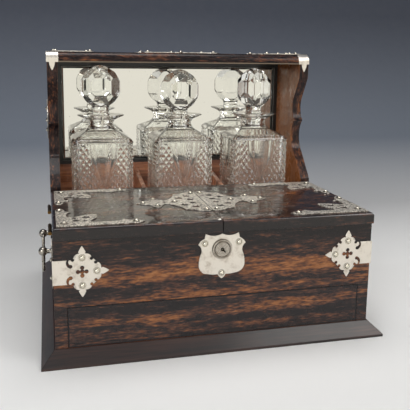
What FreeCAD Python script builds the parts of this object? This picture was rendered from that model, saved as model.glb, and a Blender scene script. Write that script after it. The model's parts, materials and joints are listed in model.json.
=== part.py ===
"""A three-decanter tantalus: a coromandel case with two hinged lids, a sprung drawer, a mirrored
gallery with a canopy that holds the stoppers down, and pierced silver-plated mounts.

Frame: millimetres, X to the right, Y to the back, Z up, origin on the table under the middle
of the case.
"""
import FreeCAD, Part
import Sketcher
import math
import os

# Driving dimensions
SIZES = (
    # Case
    ("case_depth", 315.0),
    ("front_rise", 77.9),
    ("wall", 14.0),
    ("front_panel_depth", 13.0),
    ("back_board_depth", 10.0),
    # Plinth moulding
    ("plinth_height", 17.0),
    ("plinth_reach", 15.8),
    ("plinth_foot", 3.0),
    ("plinth_top_edge", 1.2),
    # Drawer
    ("drawer_opening_top", 64.5),
    ("drawer_gap", 0.3),
    ("drawer_side", 8.0),
    ("drawer_side_gap", 6.2),
    ("drawer_bottom_board", 4.0),
    ("drawer_bottom_rise", 2.0),
    # Ejector spring behind the drawer
    ("ejector_depth", 20.0),
    ("ejector_length", 120.0),
    ("ejector_foot", 3.6),
    ("ejector_width", 12.0),
    ("ejector_strip", 1.2),
    ("ejector_rise", 13.0),
    # Drawer locking pin
    ("pin_place", 100.0),
    ("pin_radius", 2.5),
    ("pin_clearance", 0.05),
    ("pin_throw", 8.0),
    ("pin_gap", 0.6),
    ("pin_head_radius", 3.7),
    ("pin_head_height", 4.0),
    ("pin_head_rise", 11.0),
    # Boards inside the case
    ("dust_board", 8.5),
    ("decanter_floor", 15.0),
    ("decanter_recess", 3.0),
    ("recess_margin", 1.2),
    ("floor_setback", 2.0),
    ("divider_board", 6.0),
    ("divider_front_rise", 62.0),
    ("divider_back_rise", 79.0),
    ("lining_board", 8.0),
    # Gallery and canopy
    ("canopy_height", 14.1),
    ("canopy_depth", 106.5),
    ("stopper_headroom", 4.2),
    ("bead_height", 1.6),
    ("bead_depth", 1.2),
    # Mirror and its slip
    ("mirror_sight_height", 143.9),
    ("slip_width", 6.0),
    ("mirror_glass", 5.0),
    ("mirror_lap", 2.0),
    ("bevel_width", 6.0),
    ("bevel_depth", 1.6),
    # Lids
    ("lid_board", 13.4),
    ("lid_front_overhang", 4.7),
    ("lid_seat_gap", 0.3),
    ("lid_back_gap", 0.3),
    ("lid_meeting_gap", 0.8),
    ("lid_edge_round", 4.0),
    # Lid hinges
    ("hinge_length", 36.0),
    ("hinge_leaf_width", 12.0),
    ("hinge_leaf", 1.0),
    ("knuckle_radius", 2.0),
    ("knuckle_gap", 0.4),
    ("knuckle_stand_off", 0.3),
    ("hinge_pin_radius", 0.9),
    ("hinge_pin_clearance", 0.05),
    # Lock
    ("lock_width", 64.0),
    ("lock_floor_gap", 6.4),
    ("lock_wall", 1.5),
    ("barrel_radius", 7.0),
    ("barrel_clearance", 0.08),
    ("barrel_gap", 0.3),
    ("barrel_length", 12.0),
    ("dial_radius", 11.5),
    ("dial_plate", 1.7),
    ("dial_ring", 0.5),
    ("dial_groove_radius", 9.4),
    ("key_hole_radius", 2.4),
    ("key_pin_radius", 0.9),
    ("key_hole_depth", 9.0),
    ("key_slot_width", 1.8),
    ("key_slot_length", 5.6),
    # Bolt and the lids' catches
    ("bolt_throw", 8.0),
    ("bolt_plate", 3.0),
    ("bolt_play", 0.3),
    ("bolt_gap", 1.0),
    ("bolt_bar", 2.2),
    ("bolt_tab_width", 12.0),
    ("cam_pin_radius", 1.5),
    ("cam_play", 0.4),
    ("hook_height", 3.0),
    ("hook_rise", 3.8),
    ("catch_place", 10.0),
    ("catch_plate", 2.0),
    ("catch_width", 8.6),
    ("catch_drop", 11.1),
    ("catch_play", 0.8),
    ("catch_front_gap", 1.7),
    ("catch_back_gap", 2.7),
    ("catch_eye_width", 5.0),
    ("catch_foot", 1.2),
    ("catch_foot_length", 12.0),
    # Mounts
    ("mount_plate", 1.2),
    ("lozenge_place", 31.0),
    ("lozenge_reach", 29.5),
    # Studs
    ("stud_flange_radius", 4.0),
    ("stud_flange", 0.4),
    ("stud_radius", 2.8),
    ("stud_dome", 2.0),
    # Shield
    ("shield_width", 56.6),
    ("shield_height", 54.5),
    ("shield_drop", 1.9),
    # Lid mounts
    ("lid_mount_side_inset", 4.5),
    ("lid_mount_front_inset", 6.7),
    # Canopy mounts and corner caps
    ("canopy_mount_width", 58.0),
    ("canopy_mount_side_inset", 7.0),
    ("canopy_mount_back_inset", 8.0),
    ("canopy_centre_width", 58.0),
    ("cap_width", 15.5),
    ("cap_plate", 0.8),
    ("cap_back", 15.0),
    ("cap_leaf_length", 11.5),
    ("cap_leaf_width", 8.0),
    # Carrying handles
    ("handle_spacing", 82.0),
    ("handle_height", 94.0),
    ("handle_reach", 11.5),
    ("handle_ball_radius", 5.8),
    ("rose_radius", 8.0),
    ("rose_plate", 1.5),
    ("post_radius", 3.0),
    ("bail_radius", 2.1),
    ("bail_clearance", 0.08),
    ("bail_end_gap", 0.3),
    ("bail_drop", 32.0),
    ("bail_shoulder", 1.0),
    ("bail_bend", 7.0),
    # Decanters
    ("decanter_width", 85.0),
    ("decanter_spacing", 31.0),
    ("decanter_end_gap", 17.5),
    ("decanter_front_gap", 8.5),
    ("decanter_back_gap", 15.5),
    ("decanter_body", 134.0),
    ("decanter_shoulder", 22.0),
    ("decanter_neck", 14.5),
    ("neck_radius", 17.5),
    ("lip_radius", 33.0),
    ("lip_edge", 1.4),
    ("glass_wall", 6.0),
    ("glass_base", 10.0),
    ("bore_radius", 12.0),
    # Stoppers
    ("ball_radius", 31.5),
    ("stem_radius", 10.0),
    ("plug_length", 20.0),
    ("plug_taper", 1.4),
    ("stopper_clearance", 0.08),
    ("left_ball_rise", 39.5),
    ("middle_ball_rise", 34.5),
    ("right_ball_rise", 37.0),
    # How far a cutting shape runs past what it cuts
    ("overrun", 2.0),
)

# Outlines are a start and then steps: a point is a straight run to it, a pair of points is a
# bend through the first to the second.

# Front edge of a gallery panel, up to the canopy: shares of its depth and of its rise
GALLERY_SHARES = (
    (0.0, 0.099),
    (0.246, 0.287),
    ((0.348, 0.425), (0.268, 0.548)),
    ((0.339, 0.655), (0.299, 0.740)),
)
GALLERY_EAR_SHARE = 0.89
GALLERY_MOUNT_SHARE = 0.548

# The canopy's round front edge, as a share of its height
CANOPY_ROUND_SHARE = 0.851

# The middles of a lid's hinges, as shares of its depth from the front, and a hinge's middle knuckle
HINGE_SHARES = (0.2583, 0.7521)
KNUCKLE_SHARE = 1 / 3

# Right half of the shield from its top: shares of its width and, downwards, of its height
SHIELD_SHARES = (
    (0.0, 0.01),
    ((0.175, 0.052), (0.348, 0.0)),
    (0.371, 0.11),
    ((0.448, 0.158), (0.5, 0.238)),
    ((0.438, 0.32), (0.438, 0.422)),
    ((0.474, 0.54), (0.486, 0.667)),
    ((0.48, 0.735), (0.456, 0.79)),
    ((0.405, 0.852), (0.33, 0.881)),
    (0.198, 0.905),
    (0.083, 0.905),
    ((0.055, 0.955), (0.0, 1.0)),
)
SHIELD_STUD_SHARES = ((0.36, 0.213), (-0.36, 0.213), (0.0, 0.879))

# The height of the straps' middle, as a share of the front over the drawer
STRAP_HEIGHT_SHARE = 0.5263

# Upper half of a strap's lozenge, from the strap to the inner tip: shares of its reach
STRAP_SHARE = 0.475
LOZENGE_SHARES = (
    (-0.375, 0.475),
    (-0.31, 0.565),
    ((-0.255, 0.655), (-0.16, 0.70)),
    (-0.105, 0.715),
    (-0.14, 0.755),
    ((-0.083, 0.875), (0.0, 1.0)),
    ((0.083, 0.875), (0.14, 0.755)),
    (0.105, 0.715),
    (0.16, 0.70),
    ((0.275, 0.665), (0.345, 0.575)),
    (0.575, 0.345),
    ((0.665, 0.275), (0.70, 0.16)),
    (0.715, 0.105),
    (0.755, 0.14),
    ((0.875, 0.083), (1.0, 0.0)),
)
LOZENGE_HOLE_SHARES = (
    (0.50, 0.345, 0.062),
    (0.345, 0.50, 0.062),
    (0.50, -0.345, 0.062),
    (0.345, -0.50, 0.062),
    (-0.345, 0.47, 0.06),
    (-0.345, -0.47, 0.06),
    (-0.425, 0.22, 0.072),
    (-0.425, -0.22, 0.072),
    (0.155, 0.0, 0.079),
    (-0.155, 0.0, 0.079),
    (0.0, 0.155, 0.079),
    (0.0, -0.155, 0.079),
    (0.0, 0.0, 0.088),
)
CRESCENT_SHARES = (
    (-0.53, 0.50),
    ((-0.585, 0.32), (-0.455, 0.158)),
    (-0.42, 0.27),
    ((-0.497, 0.36), (-0.455, 0.50)),
)
LOZENGE_STUD_SHARES = ((0.54, 0.0), (0.0, 0.54), (0.0, -0.54))

# The lids' mounts: shares of half the case's width and of a lid's depth
CORNER_SIZE_SHARES = (0.5158, 0.4174)
CENTRE_SIZE_SHARES = (0.4526, 0.5613)

# Corner mount, from the corner along the front: shares of its width and of its depth
CORNER_SHARES = (
    (0.0, 0.0),
    (0.832, 0.0),
    ((0.934, 0.022), (1.0, 0.10)),
    ((0.918, 0.153), (0.847, 0.159)),
    ((0.811, 0.19), (0.770, 0.242)),
    ((0.709, 0.172), (0.628, 0.149)),
    (0.423, 0.149),
    ((0.383, 0.191), (0.398, 0.265)),
    ((0.464, 0.39), (0.469, 0.570)),
    ((0.321, 0.539), (0.230, 0.477)),
    ((0.158, 0.456), (0.122, 0.527)),
    (0.122, 0.639),
    ((0.138, 0.701), (0.184, 0.751)),
    ((0.128, 0.782), (0.107, 0.826)),
    ((0.092, 0.925), (0.046, 1.0)),
    ((0.007, 0.913), (0.0, 0.801)),
)
CORNER_HOLE_SHARES = (
    (0.225, 0.262, 0.042),
    (0.345, 0.425, 0.048),
    (0.325, 0.24, 0.030),
    (0.205, 0.395, 0.030),
)
CORNER_STUD_SHARES = ((0.087, 0.149), (0.898, 0.10), (0.046, 0.866))

# Half of the centre mount, from the seam to its tip: shares of its width and, from the middle,
# of its depth
CENTRE_SHARES = (
    (0.0, 0.45),
    (0.05, 0.49),
    ((0.16, 0.455), (0.25, 0.40)),
    (0.36, 0.385),
    ((0.40, 0.26), (0.50, 0.13)),
    ((0.545, 0.085), (0.58, 0.075)),
    ((0.63, 0.12), (0.665, 0.19)),
    (0.71, 0.235),
    ((0.765, 0.19), (0.79, 0.11)),
    ((0.87, 0.085), (0.93, 0.05)),
    (1.0, 0.0),
)
CENTRE_HOLE_SHARES = (
    (0.325, 0.17, 0.055),
    (0.325, -0.17, 0.055),
    (0.18, 0.265, 0.055),
    (0.18, -0.265, 0.055),
    (0.17, 0.085, 0.05),
    (0.17, -0.085, 0.05),
    (0.585, 0.0, 0.032),
)
CENTRE_STUD_SHARES = ((0.905, 0.0), (0.72, 0.155), (0.72, -0.155), (0.43, 0.0), (0.07, 0.41), (0.07, -0.41))

# Quarter of the canopy's centre mount: shares of its half width and of its half depth
CANOPY_CENTRE_SHARES = (
    (0.0, 0.86),
    ((0.10, 0.97), (0.20, 0.90)),
    (0.70, 0.97),
    ((0.90, 1.0), (1.0, 0.85)),
    ((0.90, 0.72), (0.75, 0.68)),
    ((0.56, 0.38), (0.50, 0.0)),
)
CANOPY_MOUNT_DEPTH_SHARE = 0.889
CANOPY_STUD_SHARES = ((0.84, 0.84), (-0.84, 0.84), (0.0, 0.80), (0.84, -0.84), (-0.84, -0.84), (0.0, -0.80))

# A decanter's rounded square section: shares of its half width, of the shoulder's height, and of
# the section's own half width for its corners
SHOULDER_SHARES = ((1.0, 0.0, 0.19), (0.94, 0.20, 0.24), (0.71, 0.44, 0.45), (0.52, 0.72, 0.80))
NECK_CORNER_SHARE = 0.97

# A decanter's neck under its lip: shares of the lip's reach beyond the neck and of the neck's rise
NECK_SHARES = ((0.16, 0.50), (0.70, 0.84))

# A ball stopper's rows of ground facets: the facets in a row, the turn of the first and the rise of
# the row in degrees, and the share of the radius that is left under them
FACET_ROW_SHARES = (
    (6, 0, 0, 0.77),
    (6, 0, 55, 0.821),
    (6, 0, -43, 0.876),
    (6, 30, 27, 0.94),
    (6, 30, -25, 0.94),
    (1, 0, 90, 0.96825),
)
FULL_TURN = 360

# How each stopper is turned in its neck, in degrees
STOPPER_TURNS = {"left": 5, "middle": 17, "right": 34}

# The sideways share of a slope at half a right angle, and the turn of the key's slot
DIAGONAL_SHARE = math.sqrt(0.5)
KEY_SLOT_TURN = 45

ALONG_X = FreeCAD.Vector(1, 0, 0)
ALONG_Y = FreeCAD.Vector(0, 1, 0)
ALONG_Z = FreeCAD.Vector(0, 0, 1)
SIDES = (("left", -1), ("right", 1))

doc = FreeCAD.newDocument("tantalus")
sheet = doc.addObject("Spreadsheet::Sheet", "Sizes")
for row, (alias, value) in enumerate(SIZES, start=1):
    sheet.set("A%d" % row, alias)
    sheet.set("B%d" % row, str(value))
    sheet.setAlias("B%d" % row, alias)
doc.recompute()


class Size:
    """A length or place: its value in millimetres and the formula that the document keeps."""

    def __init__(self, value, formula):
        self.value = value
        self.formula = formula

    def __float__(self):
        return self.value

    def __add__(self, other):
        other = as_size(other)
        return Size(self.value + other.value, "(%s + %s)" % (self.formula, other.formula))

    def __sub__(self, other):
        other = as_size(other)
        return Size(self.value - other.value, "(%s - %s)" % (self.formula, other.formula))

    def __mul__(self, share):
        return Size(self.value * share, "(%s * %.6f)" % (self.formula, share))

    def __truediv__(self, share):
        return Size(self.value / share, "(%s / %.6f)" % (self.formula, share))

    def __neg__(self):
        return Size(-self.value, "(0 - %s)" % self.formula)


def as_size(number):
    """Take a zero, or a size, into the sums of sizes."""
    return number if isinstance(number, Size) else Size(float(number), "%.6f" % number)


class Sheet:
    """The spreadsheet's cells by name, as sizes."""

    def __getattr__(self, alias):
        return Size(float(sheet.get(alias)), "Sizes.%s" % alias)


S = Sheet()

# Places that several pieces share
MIDDLE = as_size(0)
PITCH = S.decanter_width + S.decanter_spacing
INSIDE = PITCH + S.decanter_width / 2 + S.decanter_end_gap
SIDE = INSIDE + S.wall
BACK = S.case_depth / 2
CASE_TOP = S.drawer_opening_top + S.front_rise
FRONT = -BACK
PANEL_BACK = FRONT + S.front_panel_depth
BACK_BOARD = BACK - S.back_board_depth
LINING = BACK_BOARD - S.lining_board
DUST_TOP = S.drawer_opening_top + S.dust_board
FLOOR_TOP = DUST_TOP + S.decanter_floor
DECANTER_BASE = FLOOR_TOP - S.decanter_recess
DECANTER_Y = LINING - S.decanter_back_gap - S.decanter_width / 2
GALLERY_FRONT = DECANTER_Y - S.decanter_width / 2 - S.decanter_front_gap
GALLERY_DEPTH = BACK - GALLERY_FRONT
NECK_BASE = DECANTER_BASE + S.decanter_body + S.decanter_shoulder
LIP_TOP = NECK_BASE + S.decanter_neck
HIGHEST_BALL = max((S.left_ball_rise, S.middle_ball_rise, S.right_ball_rise), key=float)
BALL_TOP = S.ball_radius * FACET_ROW_SHARES[-1][-1]
CANOPY_BASE = LIP_TOP + HIGHEST_BALL + BALL_TOP + S.stopper_headroom
CANOPY_TOP = CANOPY_BASE + S.canopy_height
CANOPY_FRONT = BACK - S.canopy_depth
CANOPY_ROUND = S.canopy_height * CANOPY_ROUND_SHARE
GALLERY_RISE = CANOPY_BASE - CASE_TOP
GALLERY_MOUNT_Z = CASE_TOP + GALLERY_RISE * GALLERY_MOUNT_SHARE
STRAP_Z = S.drawer_opening_top + S.front_rise * STRAP_HEIGHT_SHARE
SHIELD_TOP = CASE_TOP - S.shield_drop
SIGHT_TOP = CANOPY_BASE - S.slip_width
SIGHT_BASE = SIGHT_TOP - S.mirror_sight_height
SLIP_BASE = SIGHT_BASE - S.slip_width
LID_BASE = CASE_TOP + S.lid_seat_gap
LID_TOP = LID_BASE + S.lid_board
LID_INNER = S.lid_meeting_gap / 2
LID_FRONT = FRONT - S.lid_front_overhang
LID_BACK = GALLERY_FRONT - S.lid_back_gap
LID_MIDDLE = (LID_FRONT + LID_BACK) / 2
LID_DEPTH = LID_BACK - LID_FRONT
HINGE_X = SIDE + S.knuckle_stand_off + S.knuckle_radius
HINGE_Z = CASE_TOP + S.lid_seat_gap / 2
HINGE_PLACES = [LID_FRONT + LID_DEPTH * share for share in HINGE_SHARES]
DRAWER_BASE = S.plinth_height + S.drawer_gap
DRAWER_SIDE_TOP = S.drawer_opening_top - S.drawer_side_gap
DRAWER_OUTSIDE = INSIDE - S.drawer_gap
DRAWER_INSIDE = DRAWER_OUTSIDE - S.drawer_side
DRAWER_BACK = BACK_BOARD - S.ejector_depth
PIN_X = DRAWER_OUTSIDE - S.drawer_side / 2
PIN_Y = FRONT + S.pin_place
BARREL_BACK = FRONT + S.barrel_length
BOLT_FRONT = BARREL_BACK + S.bolt_gap
BOLT_BACK = BOLT_FRONT + S.bolt_plate
CATCH_Y = BOLT_FRONT + S.bolt_plate / 2
LOCK_FRONT = CATCH_Y - S.catch_width / 2 - S.catch_front_gap - S.lock_wall
LOCK_BACK = CATCH_Y + S.catch_width / 2 + S.catch_back_gap + S.lock_wall
CATCH_BASE = LID_BASE - S.catch_drop
BAR_TOP = CATCH_BASE - S.bolt_play * 2
BAR_BASE = BAR_TOP - S.bolt_bar
HOOK_BASE = BAR_TOP + S.hook_rise
HOOK_TOP = HOOK_BASE + S.hook_height
KEYHOLE_Z = BAR_BASE - S.bolt_play - S.barrel_radius
SLOT_REACH = S.cam_pin_radius + S.cam_play
SLOT_BASE = KEYHOLE_Z - S.bolt_throw * DIAGONAL_SHARE - SLOT_REACH
TAB_BASE = SLOT_BASE - S.bolt_plate
LOCK_BASE = TAB_BASE - S.lock_floor_gap - S.lock_wall
HANDLE_X = SIDE + S.handle_reach
THROAT_RADIUS = S.bore_radius - S.plug_taper
DECANTERS = (
    ("left", -PITCH, S.left_ball_rise),
    ("middle", MIDDLE, S.middle_ball_rise),
    ("right", PITCH, S.right_ball_rise),
)

nodes = []


def keep(item, name):
    """Give a finished sub-part its name and put it on the list of pieces to write."""
    item.Label = name
    nodes.append(item)
    return item


def vector(x, y, z):
    return FreeCAD.Vector(float(x), float(y), float(z))


def across(side, low, high):
    """A span of X on the right for side 1, and its mirror image for side -1."""
    return (low, high) if side > 0 else (-high, -low)


def about(middle, width):
    """The span of a width about its middle."""
    return (middle - width / 2, middle + width / 2)


def place(item, x, y, z):
    """Bind a part's position to the sheet."""
    for axis, size in zip("xyz", (x, y, z)):
        item.setExpression("Placement.Base.%s" % axis, as_size(size).formula)


def block(x, y, z):
    """A box from three pairs of low and high places."""
    item = doc.addObject("Part::Box", "block")
    place(item, x[0], y[0], z[0])
    for side, (low, high) in zip(("Length", "Width", "Height"), (x, y, z)):
        item.setExpression(side, (as_size(high) - low).formula)
    return item


def rod(axis, centre, low, high, radius):
    """A round bar along X, Y or Z: centre gives its place on the other two axes, in order."""
    item = doc.addObject("Part::Cylinder", "rod")
    turns = {"x": (ALONG_Y, 90), "y": (ALONG_X, -90), "z": (ALONG_Z, 0)}
    starts = {"x": (low, *centre), "y": (centre[0], low, centre[1]), "z": (*centre, low)}
    item.Placement = FreeCAD.Placement(FreeCAD.Vector(), FreeCAD.Rotation(*turns[axis]))
    place(item, *starts[axis])
    item.setExpression("Radius", as_size(radius).formula)
    item.setExpression("Height", (as_size(high) - low).formula)
    return item


def ball(x, y, z, radius):
    item = doc.addObject("Part::Sphere", "ball")
    place(item, x, y, z)
    item.setExpression("Radius", as_size(radius).formula)
    return item


def joined(*items):
    item = doc.addObject("Part::MultiFuse", "joined")
    item.Shapes = list(items)
    item.Refine = True
    return item


def less(base, *tools):
    """The base with every tool cut out of it."""
    item = doc.addObject("Part::Cut", "less")
    item.Base = base
    item.Tool = tools[0] if len(tools) == 1 else joined(*tools)
    return item


def gathered(*items):
    """Several separate solids kept as one sub-part."""
    item = doc.addObject("Part::Compound", "gathered")
    item.Links = list(items)
    return item


def rounded(base, radius, picked):
    """The base with the edges rounded whose middles are picked."""
    doc.recompute()
    numbers = [n for n, edge in enumerate(base.Shape.Edges, start=1) if picked(edge.CenterOfMass)]
    item = doc.addObject("Part::Fillet", "rounded")
    item.Base = base
    item.Edges = [(n, float(radius), float(radius)) for n in numbers]
    return item


def upright(shape):
    """A solid with its faces outward."""
    return shape if shape.Volume > 0 else shape.reversed()


def feature(shape):
    """An object whose shape is worked out here from the sheet's sizes."""
    item = doc.addObject("Part::Feature", "shaped")
    item.Shape = upright(shape)
    return item


def mirrored(shape):
    """The mirror image of a shape across the middle of the case."""
    return upright(shape.mirror(FreeCAD.Vector(), ALONG_X))


def is_bend(step):
    return isinstance(step[0], tuple)


def end_of(step):
    return step[-1] if is_bend(step) else step


def outline_edges(outline, spot):
    """Edges around a closed outline: spot() turns its pairs of numbers into points."""
    edges = []
    here = outline[0]
    for step in outline[1:] + outline[:1]:
        there = end_of(step)
        if is_bend(step):
            edges.append(Part.Arc(spot(*here), spot(*step[0]), spot(*there)))
        elif spot(*there) != spot(*here):
            edges.append(Part.LineSegment(spot(*here), spot(*there)))
        here = there
    return edges


def doubled(outline, flip):
    """A half outline followed back along its mirror image."""
    ends = [end_of(step) for step in outline]
    whole = list(outline)
    if flip(*ends[-1]) != ends[-1]:
        whole.append(flip(*ends[-1]))
    for step, start in zip(reversed(outline[1:]), reversed(ends[:-1])):
        whole.append((flip(*step[0]), flip(*start)) if is_bend(step) else flip(*start))
    if whole[-1] == whole[0]:
        whole.pop()
    return tuple(whole)


def upside_down(u, v):
    return (u, -v)


def sideways(u, v):
    return (-u, v)


def padded(plane, start, depth, outline):
    """A body padded to the back or to the right from a closed outline on a plane."""
    body = doc.addObject("PartDesign::Body", "body")
    sketch = body.newObject("Sketcher::SketchObject", "outline")
    origin = [f for f in body.Origin.OriginFeatures if getattr(f, "Role", "") == plane][0]
    sketch.AttachmentSupport = [(origin, "")]
    sketch.MapMode = "FlatFace"
    backwards = plane == "XZ_Plane"
    sketch.setExpression("AttachmentOffset.Base.z", (-start if backwards else start).formula)
    edges = outline_edges(outline, lambda u, v: vector(u, v, 0))
    sketch.addGeometry(edges, False)
    for index, step in enumerate(outline[:len(edges)]):
        pin_corner(sketch, index, len(edges), end_of(step))
    pad = body.newObject("PartDesign::Pad", "pad")
    pad.Profile = sketch
    pad.Reversed = backwards
    pad.setExpression("Length", depth.formula)
    return body


def pin_corner(sketch, index, count, corner):
    """Tie the start of an edge to the sheet, and the end of the edge before it to that start."""
    point = vector(*corner, 0)

    def near(edge):
        return min((1, 2), key=lambda end: sketch.getPoint(edge, end).distanceToPoint(point))

    for kind, size in zip(("DistanceX", "DistanceY"), corner):
        made = sketch.addConstraint(Sketcher.Constraint(kind, -1, 1, index, near(index), float(size)))
        sketch.setExpression("Constraints[%d]" % made, as_size(size).formula)
    before = (index - 1) % count
    sketch.addConstraint(Sketcher.Constraint("Coincident", before, near(before), index, near(index)))


def flat_plate(outline, spot, thickness):
    """A plate: a closed outline on a plane, given a thickness."""
    edges = [edge.toShape() for edge in outline_edges(outline, spot)]
    return upright(Part.Face(Part.Wire(edges)).extrude(thickness))


def pierced(outline, spot, thickness, holes=(), measure=MIDDLE, cuts=()):
    """A plate with round holes, whose radii are shares of a measure, and with cut outlines."""
    plate = flat_plate(outline, spot, thickness)
    for u, v, share in holes:
        start = spot(u, v) - thickness
        plate = plate.cut(Part.makeCylinder(float(measure * share), thickness.Length * 3, start, thickness))
    for cut in cuts:
        plate = plate.cut(flat_plate(cut, lambda u, v: spot(u, v) - thickness, thickness * 3))
    return plate


def stud_at(spot, outward):
    """A domed stud on its round flange, standing outward from a spot."""
    rim = vector(S.stud_radius, 0, S.stud_flange)
    crown = vector(0, 0, S.stud_flange + S.stud_dome)
    dome_radius = (rim - crown).Length ** 2 / (2 * float(S.stud_dome))
    half_turn = math.asin(float(S.stud_radius) / dome_radius) / 2
    bulge = crown + vector(math.sin(half_turn), 0, math.cos(half_turn) - 1) * dome_radius
    profile = [
        Part.LineSegment(FreeCAD.Vector(), vector(S.stud_flange_radius, 0, 0)),
        Part.LineSegment(vector(S.stud_flange_radius, 0, 0), vector(S.stud_flange_radius, 0, S.stud_flange)),
        Part.LineSegment(vector(S.stud_flange_radius, 0, S.stud_flange), rim),
        Part.Arc(rim, bulge, crown),
        Part.LineSegment(crown, FreeCAD.Vector()),
    ]
    face = Part.Face(Part.Wire([edge.toShape() for edge in profile]))
    stud = upright(face.revolve(FreeCAD.Vector(), ALONG_Z, FULL_TURN))
    stud.Placement = FreeCAD.Placement(spot, FreeCAD.Rotation(ALONG_Z, outward))
    return stud


# Plinth: four mitred lengths of one moulding
PLINTH = (
    (0, 0),
    (S.plinth_reach, 0),
    (S.plinth_reach, S.plinth_foot),
    (S.plinth_top_edge, S.plinth_height),
    (0, S.plinth_height),
)


def plinth_end(x_side, y_side):
    """The moulding's section on the mitre at one corner of the case."""
    points = [vector((SIDE + out) * x_side, (BACK + out) * y_side, up) for out, up in PLINTH]
    return Part.makePolygon(points + points[:1])


for name, first, last in (
    ("plinth_front", (-1, -1), (1, -1)),
    ("plinth_right", (1, -1), (1, 1)),
    ("plinth_back", (1, 1), (-1, 1)),
    ("plinth_left", (-1, 1), (-1, -1)),
):
    keep(feature(Part.makeLoft([plinth_end(*first), plinth_end(*last)], True, True)), name)

# Case boards
keep(block((-INSIDE, INSIDE), (FRONT, BACK_BOARD), (0, S.plinth_height)), "base_board")

through_panel = (FRONT - S.overrun, PANEL_BACK + S.overrun)
keep(less(
    block((-SIDE, SIDE), (FRONT, PANEL_BACK), (0, CASE_TOP)),
    block((-INSIDE, INSIDE), through_panel, (-S.overrun, S.drawer_opening_top)),
    block(about(MIDDLE, S.lock_width), (LOCK_FRONT, PANEL_BACK + S.overrun),
          (LOCK_BASE, CASE_TOP + S.overrun)),
    rod("y", (0, KEYHOLE_Z), *through_panel, S.barrel_radius + S.barrel_gap),
), "front_panel")

for name, side in SIDES:
    keep(less(
        block(across(side, INSIDE, SIDE), (PANEL_BACK, BACK), (0, CASE_TOP)),
        *[block(across(side, SIDE - S.hinge_leaf_width, SIDE + S.overrun), about(y, S.hinge_length),
                (CASE_TOP - S.hinge_leaf, CASE_TOP + S.overrun)) for y in HINGE_PLACES],
    ), name + "_side_board")

keep(block((-INSIDE, INSIDE), (BACK_BOARD, BACK), (0, CANOPY_BASE)), "back_board")

keep(less(
    block((-INSIDE, INSIDE), (PANEL_BACK, BACK_BOARD), (S.drawer_opening_top, DUST_TOP)),
    rod("z", (PIN_X, PIN_Y), S.drawer_opening_top - S.overrun, DUST_TOP + S.overrun,
        S.pin_radius + S.pin_clearance),
), "dust_board")

# Decanter stand at the back: a floor with a shallow square recess for each decanter, and boards
# between them
floor_front = GALLERY_FRONT + S.floor_setback
recess_width = S.decanter_width + S.recess_margin * 2
keep(less(
    block((-INSIDE, INSIDE), (floor_front, LINING), (DUST_TOP, FLOOR_TOP)),
    *[block(about(x, recess_width), about(DECANTER_Y, recess_width), (DECANTER_BASE, FLOOR_TOP + S.overrun))
      for name, x, rise in DECANTERS],
), "decanter_floor")

divider_front = floor_front + S.floor_setback
divider_outline = (
    (divider_front, FLOOR_TOP),
    (LINING, FLOOR_TOP),
    (LINING, FLOOR_TOP + S.divider_back_rise),
    (divider_front, FLOOR_TOP + S.divider_front_rise),
)
keep(gathered(*[
    padded("YZ_Plane", PITCH * half - S.divider_board / 2, S.divider_board, divider_outline)
    for half in (-1 / 2, 1 / 2)
]), "well_dividers")
keep(block((-INSIDE, INSIDE), (LINING, BACK_BOARD), (DUST_TOP, SLIP_BASE)), "back_lining")


# Gallery panels, with their shaped front edges
def on_gallery(u, v):
    return (GALLERY_FRONT + GALLERY_DEPTH * u, CASE_TOP + GALLERY_RISE * v)


panel_outline = (
    (BACK, CASE_TOP),
    (GALLERY_FRONT, CASE_TOP),
    *[(on_gallery(*step[0]), on_gallery(*step[1])) if is_bend(step) else on_gallery(*step)
      for step in GALLERY_SHARES],
    (CANOPY_FRONT, CASE_TOP + GALLERY_RISE * GALLERY_EAR_SHARE),
    (CANOPY_FRONT, CANOPY_BASE),
    (BACK, CANOPY_BASE),
)
for name, side in SIDES:
    keep(padded("YZ_Plane", across(side, INSIDE, SIDE)[0], S.wall, panel_outline), name + "_gallery_panel")

# Bevelled mirror in its black slip
sight_side = INSIDE - S.slip_width
glass_side = sight_side + S.mirror_lap
glass_height = (SIGHT_BASE - S.mirror_lap, SIGHT_TOP + S.mirror_lap)
glass_front = BACK_BOARD - S.mirror_glass
behind_glass = BACK_BOARD + S.overrun
keep(less(
    block((-INSIDE, INSIDE), (LINING, BACK_BOARD), (SLIP_BASE, CANOPY_BASE)),
    block((-sight_side, sight_side), (LINING - S.overrun, behind_glass), (SIGHT_BASE, SIGHT_TOP)),
    block((-glass_side, glass_side), (glass_front, behind_glass), glass_height),
), "mirror_slip")

bevel = doc.addObject("Part::Wedge", "bevel")
for key, size in {
    "Xmin": S.bevel_width - glass_side,
    "Xmax": glass_side - S.bevel_width,
    "Zmin": glass_height[0] + S.bevel_width,
    "Zmax": glass_height[1] - S.bevel_width,
    "X2min": -glass_side,
    "X2max": glass_side,
    "Z2min": glass_height[0],
    "Z2max": glass_height[1],
    "Ymin": glass_front,
    "Ymax": glass_front + S.bevel_depth,
}.items():
    bevel.setExpression(key, size.formula)
keep(joined(
    bevel,
    block((-glass_side, glass_side), (glass_front + S.bevel_depth, BACK_BOARD), glass_height),
), "mirror")


# Canopy with its rounded front edge, the light line under it, and its two corner caps
def canopy_outline(out, back):
    """The canopy's section, or one that lies a distance outside it in front and on top."""
    bulge = (CANOPY_ROUND + out) * DIAGONAL_SHARE
    return (
        (CANOPY_FRONT - out, CANOPY_BASE),
        (CANOPY_FRONT - out, CANOPY_TOP - CANOPY_ROUND),
        ((CANOPY_FRONT + CANOPY_ROUND - bulge, CANOPY_TOP - CANOPY_ROUND + bulge),
         (CANOPY_FRONT + CANOPY_ROUND, CANOPY_TOP + out)),
        (back, CANOPY_TOP + out),
        (back, CANOPY_BASE),
    )


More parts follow.
